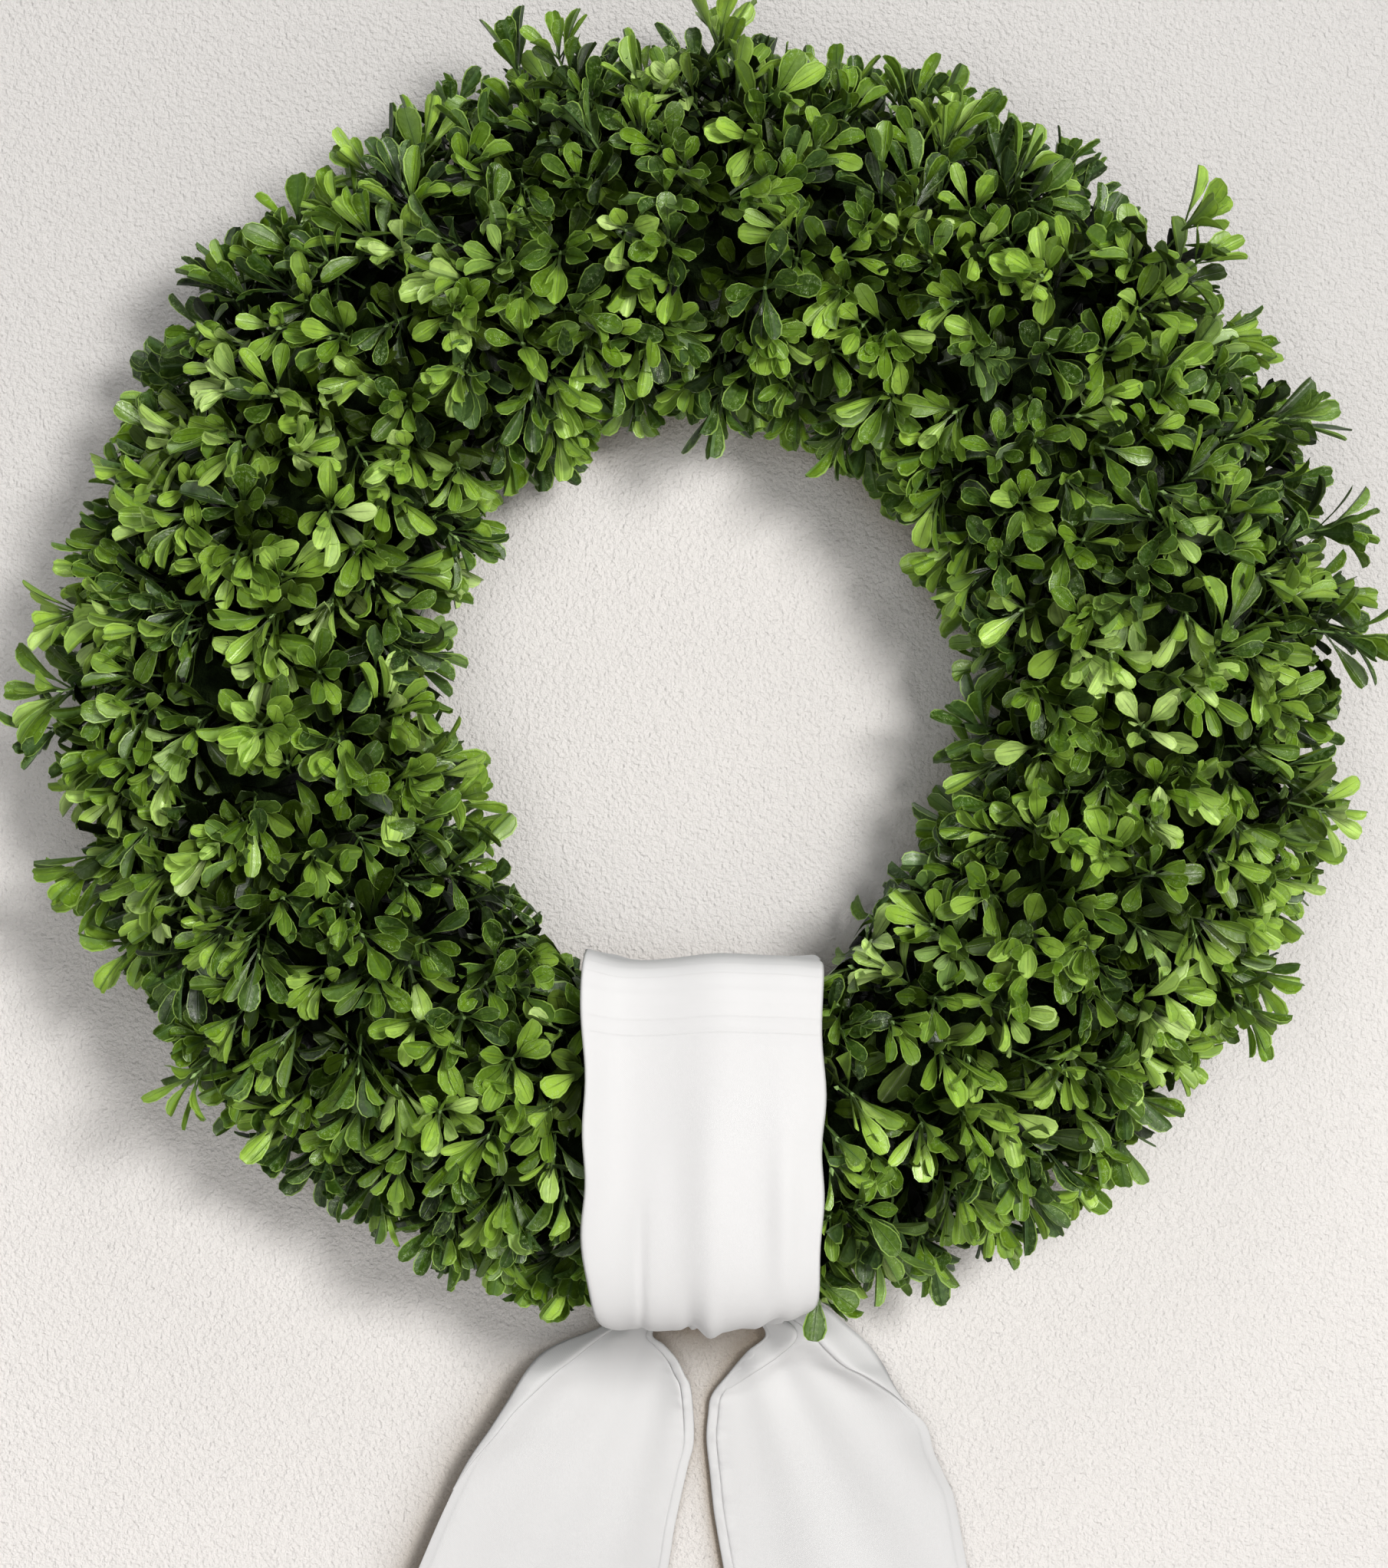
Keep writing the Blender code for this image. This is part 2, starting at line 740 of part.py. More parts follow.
def sash(look, wreath):
    """One strip of cloth: the band, the knot behind and its two tails."""
    first, last = BAND_ENDS
    rows = []
    for r in range(BAND_STEPS + 1):
        turn = first + (last - first) * r / BAND_STEPS
        row = [band_point(turn, 2 * c / BAND_COLUMNS - 1) for c in range(BAND_COLUMNS + 1)]
        rows.append(row)
    body = sheet("sash", rows, wreath)
    repeats = new_repeats("sash_parts")
    knot(repeats)
    tail("left_tail", LEFT_OUTER, LEFT_INNER, LEFT_PHASE, repeats)
    tail("right_tail", RIGHT_OUTER, RIGHT_INNER, RIGHT_PHASE, repeats)
    finished(body, repeats, look)


def main():
    for obj in list(bpy.data.objects):
        bpy.data.objects.remove(obj)
    wreath = bpy.data.collections.new("boxwood_wreath")
    bpy.context.scene.collection.children.link(wreath)
    green = material("boxwood_leaves", (0.10, 0.19, 0.035), 0.45)
    steel = material("frame_wire", (0.05, 0.09, 0.05), 0.45, 0.4)
    fine = material("binding_wire", (0.04, 0.10, 0.04), 0.4, 0.4)
    white = material("sash_cloth", (0.86, 0.85, 0.84), 0.7)
    wire_frame(steel, wreath)
    binding_wire(fine, wreath)
    for index in range(BUNCHES):
        bunch(index, green, wreath)
    sash(white, wreath)


main()
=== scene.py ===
"""The looks of a boxwood wreath: leafy bunches on a wire frame, with a white cloth sash round its foot.

Everything is in metres, in the frame of the solids: +Z is up, the wreath lies in the XZ plane and
faces -Y, and the origin is where a nail carries the wire frame. Values that the solids share are
repeated here by name.
"""

import math

import bpy
import numpy as np
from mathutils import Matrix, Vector


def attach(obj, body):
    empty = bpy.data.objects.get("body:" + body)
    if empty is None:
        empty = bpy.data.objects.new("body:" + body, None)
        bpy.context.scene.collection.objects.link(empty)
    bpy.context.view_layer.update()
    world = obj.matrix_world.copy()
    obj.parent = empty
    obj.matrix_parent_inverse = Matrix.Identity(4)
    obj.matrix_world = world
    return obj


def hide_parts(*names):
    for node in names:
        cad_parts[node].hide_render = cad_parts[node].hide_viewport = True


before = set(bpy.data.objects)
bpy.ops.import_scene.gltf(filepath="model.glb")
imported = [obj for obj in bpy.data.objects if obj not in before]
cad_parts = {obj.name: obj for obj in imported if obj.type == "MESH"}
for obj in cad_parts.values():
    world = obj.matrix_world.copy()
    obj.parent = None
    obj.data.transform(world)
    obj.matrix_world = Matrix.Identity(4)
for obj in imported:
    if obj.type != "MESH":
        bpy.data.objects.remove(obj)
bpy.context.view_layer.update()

# Ring of foliage, as in the solids
FOLIAGE_RADIUS = 0.205
CROWN_Y = -0.060
REACH = 0.087
DEPTH_SHARE = 0.80
BACK_RINGS = (0.197, 0.216)
FRONT_RINGS = (0.178, 0.235)
FRONT_RING_Y = -0.012
RING_WIRE = 0.0013
RIB_WIRE = 0.0010
RIBS = 6
CENTRE_Z = -(BACK_RINGS[1] - RING_WIRE)

# Bunches round the ring, parted by slanted planes
BUNCHES = 18
BUNCH_ANGLE = 2 * math.pi / BUNCHES
FIRST_BOUNDARY = -math.pi / 2
SWEEP = math.radians(10)
OVERHANG = math.radians(28)

# The photograph's scale and its frame
PHOTO_WIDTH = 1810
PHOTO_HEIGHT = 2044
METRES_PER_PIXEL = 0.00035
RING_CENTRE_PIXEL = (915, 887)
VIEW_DISTANCE = 2.0
SENSOR = 36.0
CLIP_END = 50

# Stage
WALL_Y = 0.0046
FLOOR_Z = -1.35
STAGE_SPAN = 3.5
WORLD_FRONT = 0.10
WORLD_BACK = 0.42
WORLD_SEEN = 0.80
WORLD_TONE = (0.99, 0.99, 1.0, 1)
# A large soft key from the right and a little above, a weak fill and some light from above:
# each one's place, width, power and colour
LIGHTS = {
    "key": ((1.65, -4.0, 0.60), 1.15, 156, (1.0, 0.985, 0.965)),
    "fill": ((-0.55, -3.4, -0.35), 1.5, 23, (0.99, 0.99, 1.0)),
    "ceiling": ((0.2, -1.3, 2.2), 1.4, 19, (1.0, 0.99, 0.98)),
}
# Where the wall looks for what keeps the light off it, and how far, for the shadow painted in its colour
SHADE_WAY = (0.62, -0.60, 0.50)
SHADE_REACH = 0.045

# Sash, as in the solids
SASH_X = 0.002
BAND_CENTRE_DROP = 0.210
BAND_CENTRE_Y = -0.060
BAND_HALF_HEIGHT = 0.085
BAND_HALF_DEPTH = 0.0637
BAND_BACK_POWER = 4.0
KNOT_TURN = math.radians(136)
GATHER_TURN = 0.16
KNOT_DROP = 0.2885
KNOT_Y = -0.0065
KNOT_SIZE = (0.027, 0.0100, 0.014)

# The band's own form, where it is finer than in the solids
BAND_X = 0.0006
BAND_HALF_WIDTH = 0.0545
BAND_LOWER_HEIGHT = 0.0815
BAND_UPPER_POWER = 11.0
BAND_LOWER_POWER = 5.0
BAND_TILT = 0.065
SASH_BACK_Y = 0.0037

FRONT = np.array((0.0, -1.0, 0.0))


def unit(vector):
    return vector / np.linalg.norm(vector)


def units(vectors):
    return vectors / np.linalg.norm(vectors, axis=1)[:, None]


def ease(low, high, value):
    """0 below low, 1 above high and smooth between them."""
    share = np.clip((value - low) / (high - low), 0.0, 1.0)
    return share * share * (3 - 2 * share)


def within(start, full, ending, end, value):
    """1 from full to ending, and smooth down to 0 at start and at end."""
    return ease(start, full, value) * (1 - ease(ending, end, value))


def ring_point(angle, radius, y):
    return np.array((radius * math.cos(angle), y, CENTRE_Z + radius * math.sin(angle)))


def ring_out(angle):
    return np.array((math.cos(angle), 0.0, math.sin(angle)))


def ring_along(angle):
    return np.array((-math.sin(angle), 0.0, math.cos(angle)))


def smooth_path(points, steps):
    """A smooth curve through points, with this many steps between each two."""
    points = np.asarray(points, dtype=float)
    ends = np.concatenate(([2 * points[0] - points[1]], points, [2 * points[-1] - points[-2]]))
    path = []
    for k in range(1, len(ends) - 2):
        a, b, c, d = ends[k - 1: k + 3]
        for t in np.arange(steps) / steps:
            path.append(0.5 * (2 * b + (c - a) * t + (2 * a - 5 * b + 4 * c - d) * t * t
                               + (3 * b - a - 3 * c + d) * t**3))
    path.append(points[-1])
    return np.array(path)


def new_object(name, data):
    made = bpy.data.objects.new(name, data)
    bpy.context.scene.collection.objects.link(made)
    return made


# Nodes and materials


class Nodes:
    """Short calls that build the nodes of one tree."""

    def __init__(self, tree):
        self.tree = tree

    def link(self, value, target):
        if isinstance(value, bpy.types.NodeSocket):
            self.tree.links.new(value, target)
        else:
            target.default_value = value

    def node(self, kind, inputs=(), **settings):
        """A new node with its settings, and with what goes into its inputs by their name or place."""
        made = self.tree.nodes.new("ShaderNode" + kind)
        for key, value in settings.items():
            setattr(made, key, value)
        for key, value in dict(inputs).items():
            self.link(value, made.inputs[key])
        return made

    def math(self, operation, *values):
        return self.node("Math", enumerate(values), operation=operation).outputs[0]

    def times(self, first, second):
        return self.math("MULTIPLY", first, second)

    def plus(self, first, second):
        return self.math("ADD", first, second)

    def mix(self, share, first, second, blend="MIX"):
        inputs = {"Factor": share, "A": first, "B": second}
        return self.node("Mix", inputs, data_type="RGBA", blend_type=blend).outputs["Result"]

    def range(self, value, low, high, least, most, way="SMOOTHSTEP"):
        inputs = {"Value": value, "From Min": low, "From Max": high, "To Min": least, "To Max": most}
        return self.node("MapRange", inputs, interpolation_type=way).outputs[0]

    def split(self, vector):
        return self.node("SeparateXYZ", {0: vector}).outputs

    def attribute(self, name):
        return self.split(self.node("Attribute", attribute_name=name).outputs["Vector"])

    def place(self):
        return self.node("TexCoord").outputs["Object"]

    def noise(self, scale, detail=2.0, roughness=0.5):
        inputs = {"Vector": self.place(), "Scale": scale, "Detail": detail, "Roughness": roughness}
        return self.node("TexNoise", inputs).outputs["Fac"]

    def ramp(self, value, *stops):
        made = self.node("ValToRGB", {0: value})
        elements = made.color_ramp.elements
        while len(elements) < len(stops):
            elements.new(0.5)
        for element, (position, colour) in zip(elements, stops):
            element.position = position
            element.color = (*colour, 1)
        return made.outputs["Color"]

    def bump(self, height, distance, strength=1.0):
        return self.node("Bump", {"Strength": strength, "Distance": distance, "Height": height}).outputs[0]


class Look(Nodes):
    """A node material around one Principled shader."""

    def __init__(self, name, roughness):
        self.material = bpy.data.materials.new(name)
        self.material.use_nodes = True
        super().__init__(self.material.node_tree)
        self.shader = self.tree.nodes["Principled BSDF"]
        self.set("Roughness", roughness)

    def set(self, name, value):
        self.link(value, self.shader.inputs[name])


def wall_look():
    """Pale plaster with a fine orange-peel grain, seen from its front only.

    Shade is painted in its colour: darker high up and to the right outside the ring's middle, and a warm
    painted shadow close beside what keeps the main light off it.
    """
    look = Look("plaster", 0.85)
    colour = look.ramp(look.noise(2.2, 3.0), (0.3, (0.755, 0.730, 0.710)), (0.7, (0.790, 0.765, 0.745)))
    x, _, z = look.split(look.place())
    # painted shade: the plaster is darkened high up and to the right, but not in the ring's middle
    upper = look.range(z, -0.55, 0.12, 0.0, 0.68)
    right = look.range(x, 0.05, 0.40, 0.0, 0.24)
    ends = {0: look.place(), 1: (0.0, WALL_Y, CENTRE_Z)}
    from_centre = look.node("VectorMath", ends, operation="DISTANCE").outputs["Value"]
    round_hole = look.range(from_centre, 0.07, 0.15, 0.0, 1.0)
    darker = look.times(look.plus(upper, right), round_hole)
    colour = look.mix(darker, colour, (0.55, 0.540, 0.530, 1))
    # painted shadow: a warm darkening close beside whatever stands between the wall and the main light
    towards_light = look.node("CombineXYZ", enumerate(SHADE_WAY)).outputs[0]
    feeler = {"Distance": SHADE_REACH, "Normal": towards_light}
    open_share = look.node("AmbientOcclusion", feeler, samples=8).outputs["AO"]
    closed = look.range(open_share, 0.45, 0.95, 1.0, 0.0)
    look.set("Base Color", look.mix(closed, colour, (0.30, 0.24, 0.175, 1)))
    look.set("Specular IOR Level", 0.2)
    look.set("Normal", look.bump(look.noise(560.0), 0.0017))
    clear = look.node("BsdfTransparent").outputs[0]
    side = look.node("NewGeometry").outputs["Backfacing"]
    choice = look.node("MixShader", {0: side, 1: look.shader.outputs[0], 2: clear})
    look.link(choice.outputs[0], look.tree.nodes["Material Output"].inputs["Surface"])
    return look.material


def floor_look():
    """Pale matt floor."""
    look = Look("floor_paint", 0.8)
    colour = look.ramp(look.noise(3.0, 3.0), (0.3, (0.72, 0.70, 0.68)), (0.7, (0.78, 0.76, 0.74)))
    look.set("Base Color", colour)
    return look.material


def leaf_look(name, gloss):
    """Semi-gloss boxwood leaf: pale rim, partly a painted highlight, fine midrib and side veins, duller
    underside.
    """
    look = Look(name, 0.4)
    along, across, under = look.attribute("leaf_place")
    # the third value says how deep the leaf lies in its sprig, for painted shade
    tint, cool, depth = look.attribute("leaf_tint")
    off = look.math("ABSOLUTE", across)
    edge = look.math("MAXIMUM", off, look.range(along, 0.955, 0.990, 0.0, 1.0))
    grain = look.noise(2300.0, 1.0)
    mottle = look.noise(480.0, 3.0, 0.65)
    blotch = look.noise(75.0)
    green = look.ramp(
        tint,
        (0.0, (0.006, 0.018, 0.001)),
        (0.25, (0.034, 0.084, 0.003)),
        (0.50, (0.156, 0.290, 0.011)),
        (0.75, (0.405, 0.640, 0.076)),
        (1.0, (0.670, 0.880, 0.300)),
    )
    grey = look.ramp(
        tint,
        (0.0, (0.016, 0.034, 0.012)),
        (0.5, (0.085, 0.155, 0.055)),
        (1.0, (0.250, 0.380, 0.170)),
    )
    # painted glints: pale speckles in the colour where the waxy leaf would catch the light
    painted_glints = look.times(look.range(grain, 0.52, 0.66, 0.0, 0.65), look.range(mottle, 0.42, 0.68, 0.0, 1.0))
    inner_line = look.times(look.range(edge, 0.70, 0.80, 0.0, 0.35), look.range(edge, 0.86, 0.80, 0.0, 1.0))
    midrib = look.times(look.range(off, 0.03, 0.10, 0.50, 0.0), look.range(along, 0.90, 0.62, 0.0, 1.0))
    coats = (
        (look.range(mottle, 0.40, 0.72, 0.0, 0.22), (0.29, 0.49, 0.06, 1)),
        (look.times(painted_glints, look.range(blotch, 0.42, 0.66, 0.10, 1.0)), (0.70, 0.82, 0.60, 1)),
        (look.range(blotch, 0.35, 0.62, 0.30, 0.0), (0.010, 0.030, 0.006, 1)),
        (inner_line, (0.015, 0.040, 0.006, 1)),
        # a pale rim: partly the leaf's paler margin, partly a painted highlight where its edge catches the
        # light
        (look.range(edge, 0.85, 0.94, 0.0, 0.65), (0.35, 0.54, 0.11, 1)),
        (midrib, (0.018, 0.045, 0.006, 1)),
        (look.range(along, 0.42, 0.26, 0.0, 0.7), (0.085, 0.17, 0.030, 1)),
    )
    colour = look.mix(cool, green, grey)
    for share, tone in coats:
        colour = look.mix(share, colour, tone)
    colour = look.mix(under, colour, look.mix(0.50, colour, (0.070, 0.150, 0.035, 1)))
    # painted shade: darker the deeper a leaf lies in its sprig, and towards its stalk
    shade = look.times(look.range(depth, 0.38, 1.0, 0.015, 1.0), look.range(along, 0.10, 0.65, 0.40, 1.0))
    shade = look.mix(shade, (0, 0, 0, 1), (1, 1, 1, 1))
    look.set("Base Color", look.mix(1.0, colour, shade, "MULTIPLY"))
    look.set("Roughness", look.plus(look.range(blotch, 0.38, 0.62, 0.42, 0.29), look.times(under, 0.22)))
    look.set("Specular IOR Level", gloss)
    slope = look.math("SUBTRACT", look.times(along, 60.0), look.times(off, 9.0))
    veins = look.times(look.math("SINE", slope), look.range(off, 0.05, 0.25, 0.0, 0.08))
    height = look.plus(look.plus(veins, look.times(mottle, 0.6)), look.times(grain, 0.30))
    height = look.math("SUBTRACT", height, look.range(off, 0.0, 0.09, 0.6, 0.0))
    height = look.plus(height, look.range(edge, 0.78, 0.90, 0.0, 0.7))
    look.set("Normal", look.bump(height, 0.00024, 0.9))
    return look.material


def stem_look():
    """Thin stems, green at their tips and brown where they are old, with glossy buds and pale cut ends."""
    look = Look("boxwood_stem", 0.55)
    age, bud, cut = look.attribute("stem_place")
    streak = look.noise(260.0, 3.0, 0.6)
    young = look.mix(streak, (0.060, 0.125, 0.022, 1), (0.14, 0.235, 0.050, 1))
    old = look.mix(streak, (0.075, 0.066, 0.030, 1), (0.19, 0.155, 0.080, 1))
    colour = look.mix(bud, look.mix(age, young, old), (0.30, 0.46, 0.16, 1))
    look.set("Base Color", look.mix(cut, colour, (0.52, 0.46, 0.27, 1)))
    look.set("Roughness", look.range(bud, 0.0, 1.0, 0.58, 0.18))
    look.set("Normal", look.bump(streak, 0.0003, 0.7))
    return look.material


def core_shade_look():
    """The inside of a bunch, crowded old leaves and twigs, painted near black: painted shade of its unlit
    depth.
    """
    look = Look("boxwood_inside_shade", 0.8)
    grain = look.noise(160.0, 4.0, 0.7)
    look.set("Base Color", look.ramp(grain, (0.35, (0.002, 0.005, 0.001)), (0.7, (0.010, 0.018, 0.004))))
    look.set("Specular IOR Level", 0.05)
    look.set("Normal", look.bump(grain, 0.004))
    return look.material


def wire_look(name, dark, light, roughness):
    """Green enamel on wire, with small chips and a little dust."""
    look = Look(name, roughness)
    patches = look.noise(300.0, 3.0, 0.6)
    chips = look.range(look.noise(900.0, 2.0, 0.5), 0.70, 0.76, 0.0, 0.6)
    colour = look.ramp(patches, (0.35, dark), (0.7, light))
    look.set("Base Color", look.mix(chips, colour, (0.16, 0.15, 0.14, 1)))
    look.set("Roughness", look.range(patches, 0.3, 0.7, roughness - 0.08, roughness + 0.12))
    look.set("Metallic", 0.25)
    look.set("Normal", look.bump(patches, 0.0002, 0.5))
    return look.material


THREAD_GAP = 0.00055


def cloth_look():
    """White satin-like cloth: a fine weave, a soft sheen and faint shade between its threads."""
    look = Look("sash_cloth", 0.62)
    across, along, _ = look.attribute("cloth_place")
    thread = 2 * math.pi / THREAD_GAP
    warp = look.math("SINE", look.times(across, thread))
    weft = look.math("SINE", look.times(along, thread))
    weave = look.times(warp, weft)
    slub = look.noise(900.0, 2.0, 0.55)
    colour = look.ramp(look.noise(14.0), (0.3, (0.640, 0.640, 0.643)), (0.7, (0.665, 0.665, 0.668)))
    shade = look.range(weave, -1.0, 1.0, 0.10, 0.0)
    look.set("Base Color", look.mix(shade, colour, (0.60, 0.595, 0.595, 1)))
    look.set("Sheen Weight", 0.08)
    look.set("Sheen Roughness", 0.4)
    look.set("Specular IOR Level", 0.28)
    look.set("Roughness", look.range(slub, 0.3, 0.7, 0.46, 0.58))
    look.set("Normal", look.bump(look.plus(look.times(weave, 0.5), look.times(slub, 0.5)), 0.00006, 0.6))
    return look.material


# Camera, stage and light


def camera():
    """Straight on, as the photograph was taken."""
    aim_x = (PHOTO_WIDTH / 2 - RING_CENTRE_PIXEL[0]) * METRES_PER_PIXEL
    aim_z = CENTRE_Z - (PHOTO_HEIGHT / 2 - RING_CENTRE_PIXEL[1]) * METRES_PER_PIXEL
    data = bpy.data.cameras.new("camera")
    data.sensor_width = SENSOR
    data.lens = SENSOR * VIEW_DISTANCE / (PHOTO_HEIGHT * METRES_PER_PIXEL)
    data.clip_end = CLIP_END
    made = new_object("camera", data)
    made.location = (aim_x, CROWN_Y - VIEW_DISTANCE, aim_z)
    made.rotation_euler = (math.pi / 2, 0, 0)
    bpy.context.scene.camera = made


def area_light(name, place, size, power, colour):
    """A round light that faces the wreath."""
    data = bpy.data.lights.new(name, "AREA")
    data.shape = "DISK"
    data.size = size
    data.energy = power
    data.color = colour
    way = Vector((0.0, CROWN_Y, CENTRE_Z)) - Vector(place)
    made = new_object(name, data)
    made.location = place
    made.rotation_euler = way.to_track_quat("-Z", "Y").to_euler()
    made.visible_camera = False


def studio_world():
    """Dim all round, brighter behind the wall, and pale where the camera sees it."""
    world = bpy.data.worlds.new("studio")
    world.use_nodes = True
    nodes = Nodes(world.node_tree)
    facing = nodes.split(nodes.node("TexCoord").outputs["Generated"])["Y"]
    strength = nodes.range(facing, 0.0, 0.5, WORLD_FRONT, WORLD_BACK, "LINEAR")
    seen = nodes.node("LightPath").outputs["Is Camera Ray"]
    shown = nodes.node("Mix", {"Factor": seen, "A": strength, "B": WORLD_SEEN})
    background = world.node_tree.nodes["Background"]
    nodes.link(shown.outputs["Result"], background.inputs["Strength"])
    background.inputs["Color"].default_value = WORLD_TONE
    bpy.context.scene.world = world


def stage_plane(name, corners, look):
    mesh = Mesh()
    mesh.add(np.array(corners), [[0, 1, 2, 3]])
    made = mesh.made(name, look)
    return made


def backdrop():
    """The floor, and the wall behind the wreath, which casts no light or shade on the wreath's back."""
    s = STAGE_SPAN
    wall_corners = [(-s, WALL_Y, FLOOR_Z), (s, WALL_Y, FLOOR_Z), (s, WALL_Y, s), (-s, WALL_Y, s)]
    floor_corners = [(-s, -2 * s, FLOOR_Z), (s, -2 * s, FLOOR_Z), (s, s, FLOOR_Z), (-s, s, FLOOR_Z)]
    wall_paint = wall_look()
    floor_paint = floor_look()
    wall = stage_plane("wall", wall_corners, wall_paint)
    wall.visible_diffuse = False
    wall.visible_glossy = False
    wall.visible_shadow = False
    stage_plane("floor", floor_corners, floor_paint)


# Mesh building


class Mesh:
    """Points, faces and point attributes, gathered piece by piece."""

    def __init__(self):
        self.points = []
        self.faces = []
        self.looks = []
        self.values = {}
        self.count = 0

    def add(self, points, faces, look=0, **values):
        self.points.append(points)
        self.faces.extend([[k + self.count for k in face] for face in faces])
        self.looks.extend([look] * len(faces))
        for key, value in values.items():
            self.values.setdefault(key, []).append(value)
        self.count += len(points)

    def made(self, name, *looks, sharp=50):
        mesh = bpy.data.meshes.new(name)
        mesh.from_pydata(np.concatenate(self.points), [], self.faces)
        for key, parts in self.values.items():
            layer = mesh.attributes.new(key, "FLOAT_VECTOR", "POINT")
            layer.data.foreach_set("vector", np.concatenate(parts).astype(np.float32).ravel())
        for look in looks:
            mesh.materials.append(look)
        mesh.polygons.foreach_set("material_index", self.looks)
        mesh.shade_smooth()
        mesh.set_sharp_from_angle(angle=math.radians(sharp))
        mesh.update()
        return new_object(name, mesh)


def tube_faces(rows, sides, cyclic=False):
    """The faces of a tube from its rings of points, with closed ends unless it is a ring itself."""
    faces = []
    for k in range(rows if cyclic else rows - 1):
        a = k * sides
        b = (k + 1) % rows * sides
        for s in range(sides):
            t = (s + 1) % sides
            faces.append([a + s, a + t, b + t, b + s])
    if not cyclic:
        faces.append(list(range(sides))[::-1])
        faces.append(list(range((rows - 1) * sides, rows * sides)))
    return faces


def tube(path, radii, sides, cyclic=False):
    """A round tube along a path."""
    path = np.asarray(path, dtype=float)
    count = len(path)
    if cyclic:
        heading = np.roll(path, -1, axis=0) - np.roll(path, 1, axis=0)
    else:
        heading = np.gradient(path, axis=0)
    heading = units(heading)
    side = np.cross(heading[0], FRONT)
    if np.linalg.norm(side) < 0.1:
        side = np.cross(heading[0], (0.0, 0.0, 1.0))
    first = np.empty((count, 3))
    for k in range(count):
        side = unit(side - heading[k] * side.dot(heading[k]))
        first[k] = side
    second = np.cross(heading, first)
    turns = 2 * math.pi * np.arange(sides) / sides
    radii = np.broadcast_to(radii, count)
    around = first[:, None] * np.cos(turns)[None, :, None] + second[:, None] * np.sin(turns)[None, :, None]
    points = (path[:, None] + around * radii[:, None, None]).reshape(-1, 3)
    return points, tube_faces(count, sides, cyclic)


# Leaves

LEAF_OUTLINE = (
    (0.0, 0.13), (0.14, 0.09), (0.24, 0.12), (0.32, 0.20), (0.40, 0.36), (0.49, 0.57), (0.58, 0.77),
    (0.67, 0.92), (0.76, 1.0), (0.84, 0.985), (0.90, 0.89), (0.95, 0.71), (0.985, 0.42), (1.0, 0.0),
)
# Stations along a leaf, and how many points its upper side has across at each
FINE_STATIONS = ((0.0, 3), (0.25, 3), (0.42, 5), (0.60, 5), (0.78, 5), (0.92, 5), (0.985, 3))
PLAIN_STATIONS = ((0.0, 3), (0.36, 3), (0.64, 3), (0.88, 3), (0.985, 3))
TIP_NOTCH = 0.010
LEAF_THICKNESS = 0.00045
STALK_THICKNESS = 0.0007
STALK_END = 0.22
BLADE_START = 0.45


def joined_rows(a, b):
    """The faces between two rows of 3 or 5 points."""
    if len(a) == len(b):
        return [[a[k], b[k], b[k + 1], a[k + 1]] for k in range(len(a) - 1)]
    if len(a) < len(b):
        return [
            [a[0], b[0], b[1]], [a[0], b[1], a[1]], [a[1], b[1], b[2]],
            [a[1], b[2], b[3]], [a[1], b[3], a[2]], [a[2], b[3], b[4]],
        ]
    return [
        [a[0], b[0], a[1]], [a[1], b[0], b[1]], [a[1], b[1], a[2]],
        [a[2], b[1], a[3]], [a[3], b[1], b[2]], [a[3], b[2], a[4]],
    ]


def leaf_template(stations):
    """Where each point of a leaf lies: along, across and whether underneath, with its faces.

    A ring has its upper points from one rim to the other, then one point underneath.
    """
    rows = []
    places = []
    for s, count in stations:
        row = []
        for v in np.linspace(-1, 1, count):
            row.append(len(places))
            notch = TIP_NOTCH if s > 0.95 and v == 0 else 0.0
            places.append((s - notch, v, 0.0))
        row.append(len(places))
        places.append((s, 0.0, 1.0))
        rows.append(row)
    faces = [rows[0], rows[-1][::-1]]
    for low, high in zip(rows, rows[1:]):
        a, b = low[:-1], high[:-1]
        faces += joined_rows(a, b)
        faces += [[low[-1], high[-1], b[0], a[0]], [a[-1], b[-1], high[-1], low[-1]]]
    return np.array(places), faces


FINE_LEAF = leaf_template(FINE_STATIONS)
PLAIN_LEAF = leaf_template(PLAIN_STATIONS)

# Each kind's template, its look, and whether the sash presses it; look 1 is a low-gloss copy, painted shade
# for leaves deep in the sprigs
LEAF_KINDS = {
    "fine": (FINE_LEAF, 0, True),
    "plain": (PLAIN_LEAF, 0, True),
    "inner": (PLAIN_LEAF, 1, True),
    "loose": (FINE_LEAF, 0, False),
}


def leaf_points(template, roots, along, face, shape):
    """All leaves of one template; shape has length, width, bend, cup, crease and twist."""
    s, v, under = template[0].T
    length, width, bend, cup, crease, twist = (column[:, None] for column in shape.T)
    along = units(along)
    face = units(face - along * np.sum(face * along, axis=1)[:, None])
    side = np.cross(along, face)
    outline = np.interp(s, *zip(*LEAF_OUTLINE))
    half = width / 2 * outline
    blade = ease(STALK_END, BLADE_START, s)
    lift = half * (cup * v * v + crease * np.abs(v)) * blade
    thick = LEAF_THICKNESS * blade + STALK_THICKNESS * (1 - blade)
    turned = twist * s * s
    across = half * v
    sideways = across * np.cos(turned) - lift * np.sin(turned)
    upward = across * np.sin(turned) + lift * np.cos(turned)
    upward = upward - under * thick - bend * length * s * s / 2
    forward = length * (s - bend * bend * s**3 / 6)
    points = roots[:, None] + along[:, None] * forward[:, :, None]
    return points + side[:, None] * sideways[:, :, None] + face[:, None] * upward[:, :, None]


class Bunch:
    """The leaves, stems and buds of one bunch."""

    def __init__(self, index):
        self.index = index
        self.leaves = {kind: [] for kind in LEAF_KINDS}
        self.stems = []
        self.free_stems = []
        self.buds = []

    def leaf(self, kind, root, along, face, shape, tint):
        self.leaves[kind].append((root, along, face, shape, tint))


